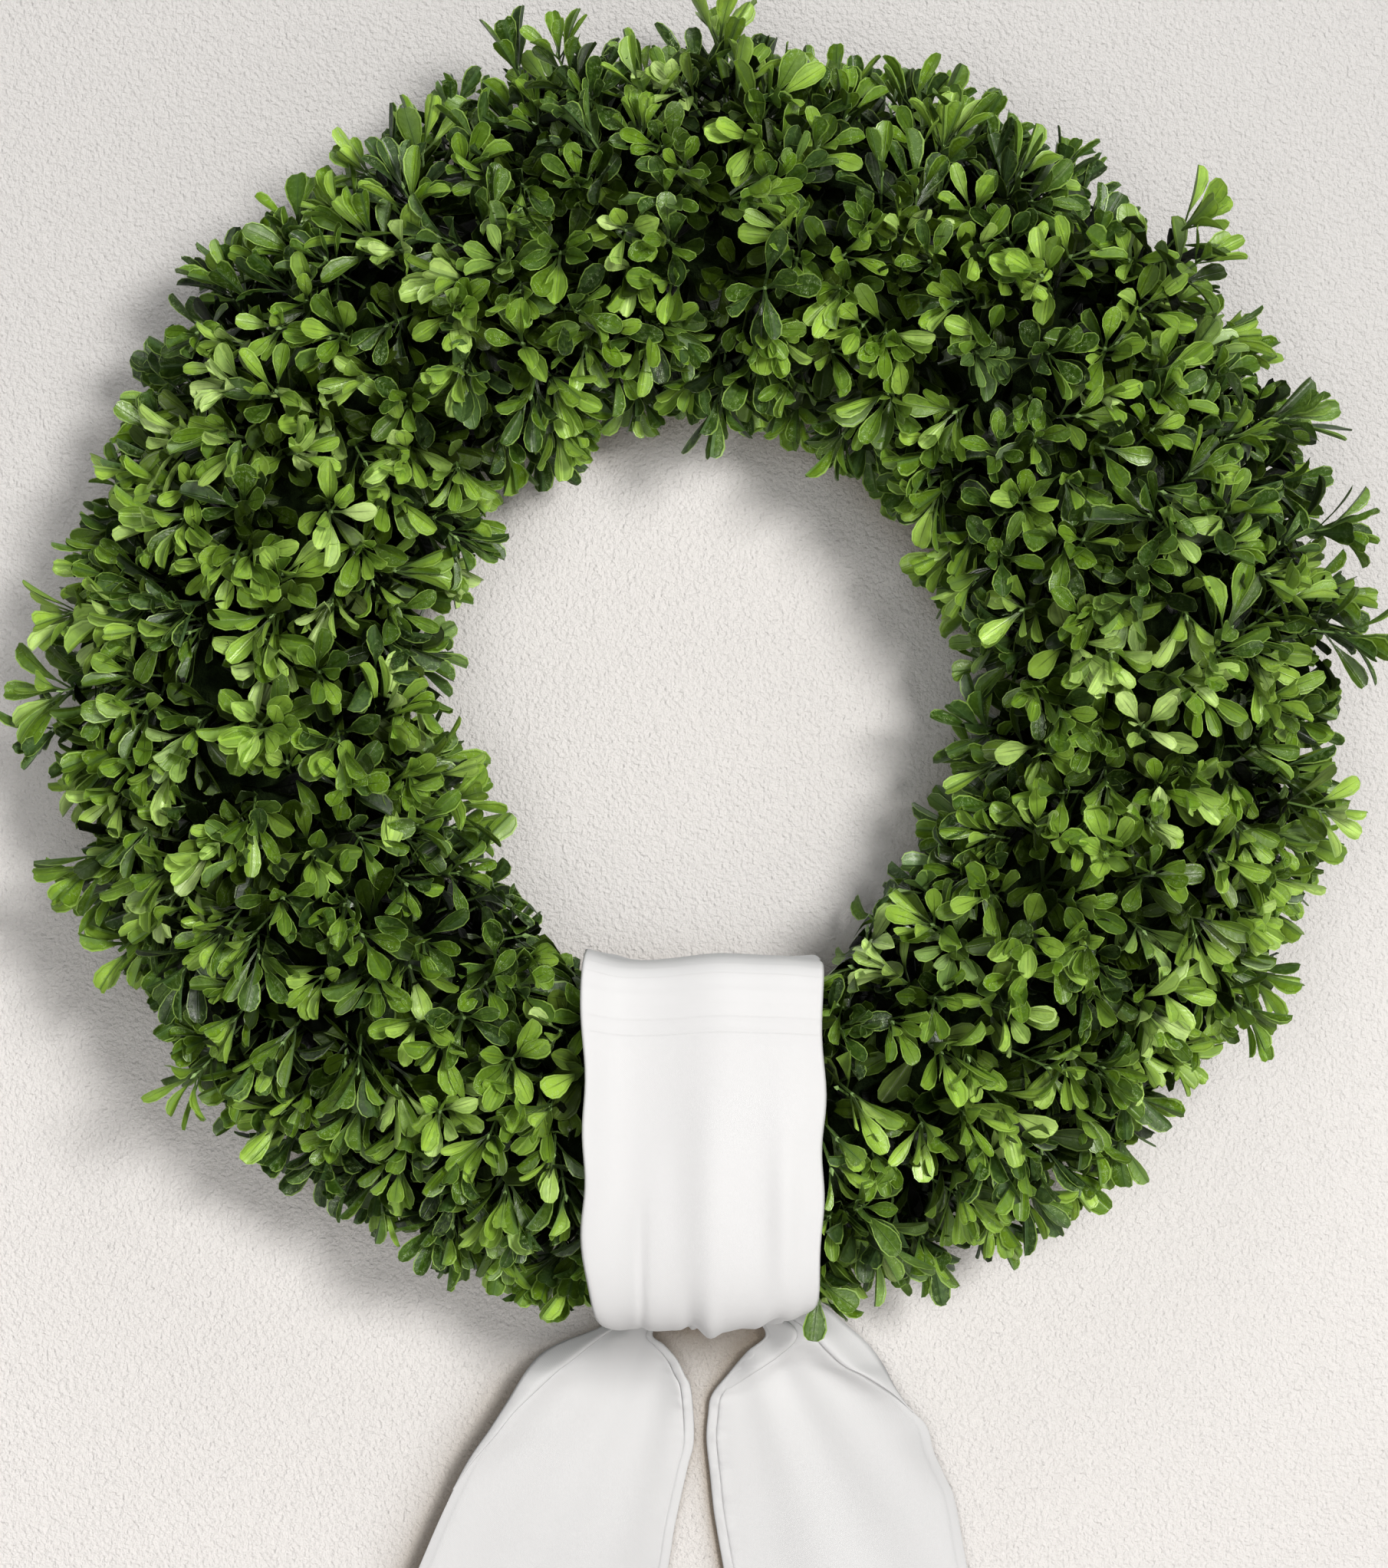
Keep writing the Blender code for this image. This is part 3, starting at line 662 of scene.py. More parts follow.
def boundary_distance(index, point):
    """How far a point lies past the slanted plane between a bunch and the one before it."""
    angle = FIRST_BOUNDARY + index * BUNCH_ANGLE
    flat = ring_along(angle) * math.cos(SWEEP) + ring_out(angle) * math.sin(SWEEP)
    normal = flat * math.cos(OVERHANG) - FRONT * math.sin(OVERHANG)
    return normal.dot(point - ring_point(angle, FOLIAGE_RADIUS, CROWN_Y))


def boundary_angle(index, radius, y):
    """The angle at which the plane before a bunch crosses a circle round the wreath."""
    base = FIRST_BOUNDARY + index * BUNCH_ANGLE
    low, high = -0.6, 0.6
    for _ in range(40):
        middle = (low + high) / 2
        if boundary_distance(index, ring_point(base + middle, radius, y)) > 0:
            high = middle
        else:
            low = middle
    return base + (low + high) / 2


def bunch_of(point):
    for index in range(BUNCHES):
        if boundary_distance(index, point) > 0 >= boundary_distance(index + 1, point):
            return index
    return 0


# Where the leaves may be

LEAF_BACK_Y = -0.0015
FRAME_SPAN = (0.160, 0.170, 0.243, 0.253)
FRAME_CLEAR = 0.0165
TAIL_TOP_DROP = 0.262
TAIL_TOP_EASE = 0.008
TAIL_HALF_SPAN = 0.130
TAIL_SIDE_EASE = 0.01
TAIL_CLEAR_Y = -0.021
BACK_ZONE = 0.007
BAND_PRESSED = 0.925
BAND_SOFT = 0.06
BAND_FREE_WIDTH = 0.030
BAND_FREE_RISE = 0.45
BAND_TOP_DROP = 0.05
MOST_STRETCH = 0.006


def held_back(points):
    """Bends what would pass through the wall, the frame or the tails forward of them."""
    x, y, z = points[..., 0], points[..., 1], points[..., 2]
    radius = np.hypot(x, z - CENTRE_Z)
    limit = LEAF_BACK_Y - FRAME_CLEAR * within(*FRAME_SPAN, radius)
    below = ease(TAIL_TOP_DROP - TAIL_TOP_EASE, TAIL_TOP_DROP, CENTRE_Z - z)
    tails = below * (1 - ease(TAIL_HALF_SPAN, TAIL_HALF_SPAN + TAIL_SIDE_EASE, abs(x)))
    limit = limit + (TAIL_CLEAR_Y - limit) * tails
    start = limit - BACK_ZONE
    excess = np.maximum(y - start, 0.0)
    bent = start + BACK_ZONE * (1 - np.exp(-excess / BACK_ZONE))
    points[..., 1] = np.where(y > start, bent, y)


def band_tilt(depth, rise):
    """How far the band's top lies below level, falling from its front towards the wall."""
    behind_front = depth - BAND_CENTRE_Y + BAND_HALF_DEPTH
    return BAND_TILT * behind_front * np.clip(rise / BAND_HALF_HEIGHT, 0.0, 1.0)


def pressed(points):
    """Presses what lies under the sash into its band, and lets it rise beside it."""
    x, y, z = points[..., 0], points[..., 1], points[..., 2]
    middle = CENTRE_Z - BAND_CENTRE_DROP
    tilt = band_tilt(y, z - middle)
    dy = (y - BAND_CENTRE_Y) / BAND_HALF_DEPTH
    dz = (z + tilt - middle) / np.where(z > middle, BAND_HALF_HEIGHT, BAND_LOWER_HEIGHT)
    power = np.where(dy > 0, BAND_BACK_POWER, np.where(dz > 0, BAND_UPPER_POWER, BAND_LOWER_POWER))
    reach = (np.abs(dy) ** power + np.abs(dz) ** power) ** (1 / power)
    half = BAND_HALF_WIDTH * (1 - 0.5 * ease(-0.03, -0.01, y))
    beside = np.abs(x - BAND_X) - half
    limit = BAND_PRESSED + BAND_FREE_RISE * ease(-0.001, BAND_FREE_WIDTH, beside)
    close = (CENTRE_Z - z > BAND_TOP_DROP) & (beside < BAND_FREE_WIDTH)
    start = limit - BAND_SOFT
    excess = np.maximum(reach - start, 0.0)
    wanted = start + BAND_SOFT * (1 - np.exp(-excess / BAND_SOFT))
    scale = np.where(close & (reach > start), wanted / np.maximum(reach, 1e-6), 1.0)
    points[..., 1] = BAND_CENTRE_Y + (y - BAND_CENTRE_Y) * scale
    points[..., 2] = middle + (z + tilt - middle) * scale - tilt


# Sprigs

SEED = 7
# Rows round the tube, in degrees from its outer side, and those that the front shows
ROW_SPAN = (-46.0, 228.0)
SEEN_SPAN = (-25.0, 205.0)
ROWS = 17
SPRIG_SPACING = 0.0248
PLACE_STRAY = 0.45
TIP_BACK = 0.0185
TIP_LUMPS = 0.0022
TIP_STRAY = 0.0035
DROOP = 0.26
LESS_DROOP_ON_TOP = 0.7
LEAN = 0.52
LEAN_PATCHES = 0.22
LEAN_STRAY = 0.22
# The way a sprig leans: outward, along the ring and across, with how far each strays
WAY_OUT = 0.55
WAY_OUT_STRAY = 0.5
WAY_ALONG = (0.1, 0.6)
WAY_ACROSS_STRAY = 0.35
YOUNG_SPAN = (-0.4, 0.6)
YOUNG_PATCHES = 0.30
STEM_STEPS = 8
# A stem's start: degrees back along the ring, how far off the bundle's middle and how deep, and its
# first stretch along the ring and forward
STEM_BACK = (8, 15)
STEM_OFF = 0.012
STEM_DEPTH = (-0.040, -0.028)
STEM_FIRST = (0.018, 0.006)
TIP_STRAIGHT = 0.036
LEAF_SIZE = (0.0278, 0.0097)
LENGTH_SPREAD = (0.88, 1.12)
WIDTH_SPREAD = (0.84, 1.14)
SIZE_SPREAD = (0.82, 1.14)
LEAF_STRAY = 0.11
LEAF_SAG = 0.08
FACE_OUT = 0.24
FACE_STRAY = 0.36
BEND = (0.18, 0.24)
CUP = (0.0, 0.85)
CREASE = (0.0, 0.30)
TWIST = (0, 0.30)
TUFT_SPREAD = (16, 42)
TUFT_SIZE = (0.78, 1.0)
TURN_STRAY = 0.2
# Pairs of leaves: how far each lies behind the tip, and its angle to the stem in degrees
PAIR_PLACES = (0.0040, 0.0095, 0.0160, 0.0230, 0.0310, 0.0400)
PAIR_STRAY = 0.0012
PAIR_SPREAD = 36
PAIR_WIDENS = 7
PAIR_SPREAD_STRAY = 0.14
PAIR_TURN_STRAY = 0.15
FINE_PAIRS = 3
MISSING_LEAVES = 0.14
# The stem's own way is taken this far ahead, beyond this distance behind the tip
STEM_AHEAD = 0.004
STRAIGHT_TO_TIP = 0.005
# A leaf's tint runs from 0, deep green, to 1, yellow green
USUAL_TINT = 0.56
YOUNG_TINT = 0.2
TINT_STRAY = 0.17
TINT_SPAN = (0.1, 0.95)
TUFT_LIGHTER = 0.10
PAIR_DARKER = 0.05
LEAF_TINT_STRAY = 0.10
COOL_SHARE = 0.07
COOL_SPAN = (0.3, 0.8)
# Painted shade: how much deeper green the leaves' tint is at the top, on the tube's sides, at the right and
# low on the left
TOP_PAINTED_SHADE = 0.14
SIDE_PAINTED_SHADE = 0.20
RIGHT_PAINTED_SHADE = 0.035
FOOT_PAINTED_SHADE = 0.16
FOOT_WAY = math.radians(225)
UNDER_TUFTS = 240
UNDER_LEAVES = 6
UNDER_BACK = (0.014, 0.024)
UNDER_TINT = (0.25, 0.55)
UNDER_SPREAD = (30, 80)
# How deep the under tufts count as lying in a sprig, which the leaf look turns into painted shade
UNDER_SHADE_DEPTH = 0.54
UNDER_SIZE = (0.85, 1.05)
UNDER_WAY_STRAY = 0.25
UNDER_TURN_STRAY = 0.3
UNDER_TINT_STRAY = 0.05
# How sprigs that stand out of the outline lie: degrees to the front, way, lean and youth
STRAY_FORWARD = (8, 38)
STRAY_WAY = 0.6
STRAY_LEAN = (0.1, 0.35)
STRAY_YOUNG = 0.3
# Sprigs that stand out of the outline: the degree round the ring, and how far out the tip is
OUTER_STRAYS = (
    (184.4, 0.312), (181.0, 0.306), (197.0, 0.308), (199.5, 0.304), (174.0, 0.303),
    (218.0, 0.306), (205.0, 0.302), (106.8, 0.306), (103.0, 0.303), (88.4, 0.308),
    (55.0, 0.302), (43.0, 0.312), (40.0, 0.306), (24.0, 0.303), (13.5, 0.310),
    (4.0, 0.307), (8.0, 0.303), (-12.0, 0.301), (-31.3, 0.306), (-28.0, 0.300), (-79.0, 0.300),
)
INNER_STRAYS = (
    (-50.0, 0.106), (-54.0, 0.109), (205.8, 0.107), (200.0, 0.111), (86.0, 0.109),
    (60.0, 0.111), (150.0, 0.111), (20.0, 0.112), (120.0, 0.112),
)
# Leaves that hang free by the sash's lower right corner: root and tip as x, y and drop, then width,
# bend and tint
HANGING_LEAVES = (
    ((0.0520, -0.096, 0.2700), (0.0690, -0.104, 0.2810), 0.0122, 0.25, 0.36),
    ((0.0528, -0.096, 0.2705), (0.0496, -0.102, 0.2965), 0.0114, 0.15, 0.32),
    ((0.0810, -0.040, 0.2660), (0.1005, -0.038, 0.2835), 0.0050, 0.60, 0.36),
)
HANGING_STEM = ((0.044, -0.045, 0.238), (0.049, -0.075, 0.256), (0.0523, -0.096, 0.2703))
# Their upper faces' way off the front, and their cup, crease and twist
HANGING_FACE = (0.15, 0.0, 0.35)
HANGING_CURL = (0.25, 0.10, 0.1)


def section_point(angle, around, share):
    """A place on the tube: round the ring, round the tube from its outer side, and how far out."""
    centre = ring_point(angle, FOLIAGE_RADIUS, CROWN_Y)
    out = ring_out(angle) * math.cos(around) + FRONT * DEPTH_SHARE * math.sin(around)
    return centre + out * share


def section_normal(angle, around):
    return unit(ring_out(angle) * math.cos(around) * DEPTH_SHARE + FRONT * math.sin(around))


def stem_path(tip, heading, angle, draw):
    """From the bundle on the frame, along the ring and out to the sprig's tip."""
    start_angle = angle - math.radians(draw.uniform(*STEM_BACK))
    middle = (BACK_RINGS[0] + BACK_RINGS[1]) / 2
    radius = middle + draw.uniform(-STEM_OFF, STEM_OFF)
    start = ring_point(start_angle, radius, draw.uniform(*STEM_DEPTH))
    first = start + ring_along(start_angle) * STEM_FIRST[0] + FRONT * STEM_FIRST[1]
    second = tip - heading * TIP_STRAIGHT
    t = np.linspace(0, 1, 25)[:, None]
    return start * (1 - t) ** 3 + first * 3 * t * (1 - t) ** 2 + second * 3 * t**2 * (1 - t) + tip * t**3


def leaf_at(bunch, kind, root, heading, around_stem, spread, size, draw, normal, tint):
    """A leaf that leaves the stem at an angle, its upper face towards the stem's tip."""
    helper = unit(np.cross(heading, (0.31, 0.52, 0.79)))
    other = np.cross(heading, helper)
    out = helper * math.cos(around_stem) + other * math.sin(around_stem)
    along = heading * math.cos(spread) + out * math.sin(spread)
    along = along + draw.normal(0, LEAF_STRAY, 3) + np.array((0.0, 0.0, -LEAF_SAG))
    face = heading * math.sin(spread) - out * math.cos(spread)
    face = face + normal * FACE_OUT + draw.normal(0, FACE_STRAY, 3)
    length = LEAF_SIZE[0] * size * draw.uniform(*LENGTH_SPREAD)
    width = LEAF_SIZE[1] * size * draw.uniform(*WIDTH_SPREAD)
    bend = draw.normal(*BEND)
    cup = draw.uniform(*CUP)
    crease = draw.uniform(*CREASE)
    twist = draw.normal(*TWIST)
    bunch.leaf(kind, root, along, face, (length, width, bend, cup, crease, twist), tint)


def painted_shade_by_place(angle, normal):
    """How much deeper green the leaves' tint is painted at the top, on the tube's sides, at the right and
    low on the left: painted shade.
    """
    top_and_side = TOP_PAINTED_SHADE * max(0.0, math.sin(angle)) + SIDE_PAINTED_SHADE * (1 - max(0.0, -normal[1]))
    low_left = FOOT_PAINTED_SHADE * max(0.0, math.cos(angle - FOOT_WAY)) ** 4
    return top_and_side + (low_left + RIGHT_PAINTED_SHADE * max(0.0, math.cos(angle)))


def sprig(bunches, draw, angle, around, reach, lean, lean_way, young):
    """A stem with pairs of leaves, each pair turned across the last, and a tuft at its tip."""
    tip = section_point(angle, around, reach)
    normal = section_normal(angle, around)
    heading = normal * math.cos(lean) + lean_way * math.sin(lean)
    droop = DROOP * (1 - LESS_DROOP_ON_TOP * max(0.0, normal[2]))
    heading = unit(heading + np.array((0.0, 0.0, -droop)))
    bunch = bunches[bunch_of(tip)]
    path = stem_path(tip, heading, angle, draw)
    steps = np.linalg.norm(np.diff(path, axis=0), axis=1)
    from_tip = np.concatenate((np.cumsum(steps[::-1])[::-1], (0.0,)))
    bunch.stems.append(path[:: len(path) // STEM_STEPS])
    bunch.buds.append((tip, heading))
    # the usual tint, lighter where young, less the shade painted by place
    middle_tint = USUAL_TINT + YOUNG_TINT * young - painted_shade_by_place(angle, normal)
    base_tint = np.clip(draw.normal(middle_tint, TINT_STRAY), *TINT_SPAN)
    cool = float(draw.uniform() < COOL_SHARE) * draw.uniform(*COOL_SPAN)
    turn = draw.uniform(0, math.pi)
    tuft = draw.integers(3, 6)
    size = draw.uniform(*SIZE_SPREAD)
    seen = math.radians(SEEN_SPAN[0]) < around < math.radians(SEEN_SPAN[1])
    outer = "fine" if seen else "plain"
    for k in range(tuft):
        spread = math.radians(draw.uniform(*TUFT_SPREAD))
        tint = (np.clip(base_tint + draw.normal(TUFT_LIGHTER, LEAF_TINT_STRAY), 0, 1), cool, 1.0)
        way_round = turn + 2 * math.pi * k / tuft + draw.normal(0, TURN_STRAY)
        leaf_size = size * draw.uniform(*TUFT_SIZE)
        leaf_at(bunch, outer, tip, heading, way_round, spread, leaf_size, draw, normal, tint)
    for order, back in enumerate(PAIR_PLACES):
        back = back + draw.normal(0, PAIR_STRAY)
        place = np.array([np.interp(-back, -from_tip, path[:, c]) for c in range(3)])
        ahead = np.array([np.interp(-back + STEM_AHEAD, -from_tip, path[:, c]) for c in range(3)])
        way = unit(ahead - place) if back > STRAIGHT_TO_TIP else heading
        kind = outer if order < FINE_PAIRS else "inner"
        spread = math.radians(PAIR_SPREAD + PAIR_WIDENS * order)
        turn += math.pi / 2 + draw.normal(0, TURN_STRAY)
        # how deep the pair lies in its sprig, which the leaf look turns into painted shade
        depth = max(0.0, 1.0 - back / PAIR_PLACES[-1])
        for half in (0, math.pi):
            if draw.uniform() < MISSING_LEAVES:
                continue
            leaf_tint = base_tint - PAIR_DARKER * order + draw.normal(0, LEAF_TINT_STRAY)
            tint = (np.clip(leaf_tint, 0, 1), cool, depth)
            way_round = turn + half + draw.normal(0, PAIR_TURN_STRAY)
            leaf_spread = spread + draw.normal(0, PAIR_SPREAD_STRAY)
            leaf_at(bunch, kind, place, way, way_round, leaf_spread, size, draw, normal, tint)


def patch(angle, around, first, second):
    """Slow change over the ring, about from -1 to 1."""
    slow = math.sin(4 * angle + first + 1.2 * around) + math.sin(7 * angle + second - 1.7 * around)
    return 0.4 * slow + 0.3 * math.sin(13 * angle + first - second + 2.4 * around)


def sprigs(bunches):
    """Sprigs in staggered rows round the tube, then those that stand out of its outline."""
    draw = np.random.default_rng(SEED)
    gap = math.radians((ROW_SPAN[1] - ROW_SPAN[0]) / (ROWS - 1))
    lumps = draw.uniform(0, 2 * math.pi, 6)
    for row in range(ROWS):
        row_around = math.radians(ROW_SPAN[0]) + gap * row
        radius = FOLIAGE_RADIUS + REACH * math.cos(row_around)
        count = round(2 * math.pi * radius / SPRIG_SPACING)
        shift = draw.uniform(0, 1)
        for k in range(count):
            angle = 2 * math.pi * (k + shift + draw.uniform(-1, 1) * PLACE_STRAY) / count
            around = row_around + gap * draw.uniform(-1, 1) * PLACE_STRAY
            lump = math.sin(9 * angle + lumps[0] + 2 * around)
            lump += math.sin(14 * angle + lumps[1] - 3 * around)
            reach = REACH - TIP_BACK + TIP_LUMPS * lump + draw.normal(0, TIP_STRAY)
            normal = section_normal(angle, around)
            outward = ring_out(angle) - normal * normal.dot(ring_out(angle))
            way = outward * (WAY_OUT + draw.normal(0, WAY_OUT_STRAY))
            way = way + ring_along(angle) * draw.normal(*WAY_ALONG)
            way = way + np.cross(normal, ring_along(angle)) * draw.normal(0, WAY_ACROSS_STRAY)
            way = unit(way + 1e-6)
            usual_lean = LEAN + LEAN_PATCHES * patch(angle, around, lumps[2], lumps[3])
            lean = abs(draw.normal(usual_lean, LEAN_STRAY))
            young = draw.uniform(*YOUNG_SPAN) + YOUNG_PATCHES * patch(angle, around, lumps[4], lumps[5])
            sprig(bunches, draw, angle, around, reach, lean, way, young)
    for strays, side in ((OUTER_STRAYS, 0.0), (INNER_STRAYS, math.pi)):
        for degrees, radius in strays:
            angle = math.radians(degrees)
            around = side + math.radians(draw.uniform(*STRAY_FORWARD)) * math.cos(side)
            reach = (abs(radius - FOLIAGE_RADIUS) - TIP_BACK) / abs(math.cos(around))
            way = unit(-FRONT + ring_along(angle) * draw.normal(0, STRAY_WAY))
            sprig(bunches, draw, angle, around, reach, draw.uniform(*STRAY_LEAN), way, STRAY_YOUNG)


def under_tufts(bunches):
    """Tufts of old leaves below the sprigs' tips, which close the gaps between them, their colour darkened
    by painted shade.
    """
    draw = np.random.default_rng(SEED + 1)
    for k in range(UNDER_TUFTS):
        angle = 2 * math.pi * (k + draw.uniform(0, 1)) / UNDER_TUFTS
        around = math.radians(draw.uniform(*SEEN_SPAN))
        tip = section_point(angle, around, REACH - TIP_BACK - draw.uniform(*UNDER_BACK))
        normal = section_normal(angle, around)
        heading = unit(normal + draw.normal(0, UNDER_WAY_STRAY, 3))
        bunch = bunches[bunch_of(tip)]
        path = stem_path(tip, heading, angle, draw)
        bunch.stems.append(path[:: len(path) // STEM_STEPS])
        turn = draw.uniform(0, 2 * math.pi)
        tuft_tint = draw.uniform(*UNDER_TINT)
        for n in range(UNDER_LEAVES):
            way_round = turn + 2 * math.pi * n / UNDER_LEAVES + draw.normal(0, UNDER_TURN_STRAY)
            spread = math.radians(draw.uniform(*UNDER_SPREAD))
            size = draw.uniform(*UNDER_SIZE)
            tint = (tuft_tint + draw.normal(0, UNDER_TINT_STRAY), 0.0, UNDER_SHADE_DEPTH)
            leaf_at(bunch, "inner", tip, heading, way_round, spread, size, draw, normal, tint)


def hanging_sprig(bunches):
    """Two leaves on one short stem in front of the right tail, and a thin one beside them."""
    for root, tip, width, bend, tint in HANGING_LEAVES:
        start = np.array((root[0], root[1], CENTRE_Z - root[2]))
        along = np.array((tip[0], tip[1], CENTRE_Z - tip[2])) - start
        face = FRONT + np.array(HANGING_FACE)
        shape = (np.linalg.norm(along), width, bend, *HANGING_CURL)
        bunches[bunch_of(start)].leaf("loose", start, along, face, shape, (tint, 0.0, 1.0))
    path = smooth_path([(x, y, CENTRE_Z - drop) for x, y, drop in HANGING_STEM], 4)
    bunches[bunch_of(path[-1])].free_stems.append(path)


# Pieces of the foliage

STEM_RADIUS = 0.0011
STEM_TAPER = 0.0005
STEM_SIDES = 4
BUD = 0.0012
BUD_SIDES = 5
CORE_SHARE = 0.046
CORE_BACK_Y = -0.027
CORE_ROWS = 7
CORE_SIDES = 16
CORE_STRAY = 0.002
CUT_STEMS = 15
CUT_STEM = 0.0015
CUT_STEM_ROWS = 9
CUT_STEM_SIDES = 6
CUT_STEM_SPAN = (0.1995, 0.2135)
CUT_STEM_DEPTH = (-0.0135, -0.0032)
CUT_STEM_DEEP = (-0.030, -0.020)
CUT_PAST = (0.006, 0.020)
CUT_STEM_FAN = 0.040
CUT_STEM_TURN = math.radians(33)
# The pale end of a cut stem: how far it stands out, in steps of the stem, and its share of the stem's width
CUT_FACE = 0.010
CUT_FACE_WIDTH = 0.96


def bud_points(place, heading):
    """A small pointed bud at a sprig's tip."""
    side = unit(np.cross(heading, (0.2, 0.9, 0.4)))
    other = np.cross(heading, side)
    ring = [place + heading * BUD + (side * math.cos(a) + other * math.sin(a)) * BUD
            for a in 2 * math.pi * np.arange(BUD_SIDES) / BUD_SIDES]
    points = np.array([place - heading * BUD, *ring, place + heading * 3.2 * BUD])
    pairs = [(1 + k, 1 + (k + 1) % BUD_SIDES) for k in range(BUD_SIDES)]
    faces = [[0, b, a] for a, b in pairs] + [[BUD_SIDES + 1, a, b] for a, b in pairs]
    return points, faces


def heart_mesh(index):
    """The dark heart of a bunch, between its two planes and clear of the frame."""
    draw = np.random.default_rng(SEED * 100 + index)
    points = []
    for r in range(CORE_ROWS):
        angle = FIRST_BOUNDARY + BUNCH_ANGLE * (index + r / (CORE_ROWS - 1))
        inside = 0 < r < CORE_ROWS - 1
        for s in range(CORE_SIDES):
            around = 2 * math.pi * s / CORE_SIDES
            share = CORE_SHARE * (1 + 0.10 * math.sin(5 * around + 3 * angle * BUNCHES / 6))
            point = section_point(angle, around, share + draw.uniform(-CORE_STRAY, CORE_STRAY) * inside)
            point[1] = min(point[1], CORE_BACK_Y)
            points.append(point)
    points = np.array(points)
    pressed(points)
    mesh = Mesh()
    mesh.add(points, tube_faces(CORE_ROWS, CORE_SIDES))
    return mesh


def cut_stems(index, mesh):
    """The cut ends of a bunch's stems, bound side by side, which fan out into the bunch."""
    draw = np.random.default_rng(SEED * 1000 + index)
    middle = (CUT_STEM_SPAN[0] + CUT_STEM_SPAN[1]) / 2
    steps = np.linspace(0, 1, CUT_STEM_ROWS)
    for _ in range(CUT_STEMS):
        radius = draw.uniform(*CUT_STEM_SPAN)
        y = draw.uniform(*CUT_STEM_DEPTH)
        start = boundary_angle(index, radius, y) - draw.uniform(*CUT_PAST) / middle
        fan = CUT_STEM_FAN * draw.uniform(-1, 1)
        deep = draw.uniform(*CUT_STEM_DEEP)
        path = []
        for t in steps:
            bend = float(ease(0.30, 1.0, t))
            depth = y + (deep - y) * float(ease(0.15, 0.8, t))
            path.append(ring_point(start + CUT_STEM_TURN * t, radius + fan * bend, depth))
        thick = CUT_STEM * draw.uniform(0.6, 1.0)
        points, faces = tube(path, thick * (1 - 0.45 * steps), CUT_STEM_SIDES)
        place = np.zeros((len(points), 3))
        place[:, 0] = np.repeat(1 - 0.35 * steps, CUT_STEM_SIDES)
        mesh.add(points, faces, stem_place=place)
        cut = [path[0] - (path[1] - path[0]) * CUT_FACE, path[0]]
        points, faces = tube(cut, thick * CUT_FACE_WIDTH, CUT_STEM_SIDES)
        mesh.add(points, faces, stem_place=np.tile((1.0, 0.0, 1.0), (len(points), 1)))


def leaves_mesh(bunch):
    """All leaves of a bunch, without those that the sash or the frame would draw out of shape."""
    mesh = Mesh()
    for kind, (template, side, under_sash) in LEAF_KINDS.items():
        if not bunch.leaves[kind]:
            continue
        roots, along, face, shape, tint = (np.array(part) for part in zip(*bunch.leaves[kind]))
        points = leaf_points(template, roots, along, face, shape)
        free = points.copy()
        held_back(points)
        if under_sash:
            pressed(points)
        moved = points - free
        whole = np.linalg.norm(moved.max(axis=1) - moved.min(axis=1), axis=1) < MOST_STRETCH
        for leaf, tone in zip(points[whole], tint[whole]):
            tints = np.broadcast_to(tone, leaf.shape)
            mesh.add(leaf, template[1], side, leaf_place=template[0], leaf_tint=tints)
    return mesh


def stems_mesh(bunch):
    """The stems and buds of a bunch, with its cut ends."""
    mesh = Mesh()
    for path in bunch.stems:
        held_back(path)
        pressed(path)
    for path in bunch.stems + bunch.free_stems:
        share = np.linspace(0, 1, len(path))
        points, faces = tube(path, STEM_RADIUS - STEM_TAPER * share, STEM_SIDES)
        age = np.repeat(1 - ease(0.35, 0.75, share), STEM_SIDES)
        mesh.add(points, faces, stem_place=np.stack((age, age * 0, age * 0), axis=1))
    for place, heading in bunch.buds:
        points, faces = bud_points(place, heading)
        held_back(points)
        pressed(points)
        mesh.add(points, faces, stem_place=np.tile((0.0, 1.0, 0.0), (len(points), 1)))
    cut_stems(bunch.index, mesh)
    return mesh


def foliage(bunch, leaf, shaded_leaf, stem, inside):
    """One bunch: its leaves, stems and dark heart, in place of its solid."""
    name = f"{bunch.index + 1:02d}"
    leaves = leaves_mesh(bunch).made("leaves_" + name, leaf, shaded_leaf)
    stems = stems_mesh(bunch).made("stems_" + name, stem)
    heart = heart_mesh(bunch.index).made("heart_" + name, inside)
    for piece in (leaves, stems, heart):
        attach(piece, "root")
    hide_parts("bunch_" + name)


# Wire frame and binding wire

RIB_BACK = 0.0002
RING_STEPS = 144
WIRE_SIDES = 10
BINDING_WIRE = 0.0004
BINDING_SIDES = 6
TURN_RADII = (0.192, 0.221)
TURN_FRONT_Y = -0.016
WIRE_BULGE = 0.0005
CLEARANCE = 0.0003


def rib_angle(k):
    return boundary_angle(0, BACK_RINGS[0], 0.0) + BUNCH_ANGLE / 2 + k * 2 * math.pi / RIBS


def wire_frame(look):
    """Four rings of wire on six bent ribs."""
    mesh = Mesh()
    for radii, y in ((BACK_RINGS, 0.0), (FRONT_RINGS, FRONT_RING_Y)):
        for radius in radii:
            path = [ring_point(2 * math.pi * k / RING_STEPS, radius, y) for k in range(RING_STEPS)]
            mesh.add(*tube(path, RING_WIRE, WIRE_SIDES, cyclic=True))
    stations = (
        (FRONT_RINGS[0], FRONT_RING_Y + RIB_BACK),
        (BACK_RINGS[0], RIB_BACK),
        (BACK_RINGS[1], RIB_BACK),
        (FRONT_RINGS[1], FRONT_RING_Y + RIB_BACK),
    )
    for k in range(RIBS):
        path = smooth_path([ring_point(rib_angle(k), radius, y) for radius, y in stations], 8)
        mesh.add(*tube(path, RIB_WIRE, WIRE_SIDES))
    made = mesh.made("frame_wires", look, sharp=40)
    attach(made, "root")
    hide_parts("wire_frame")


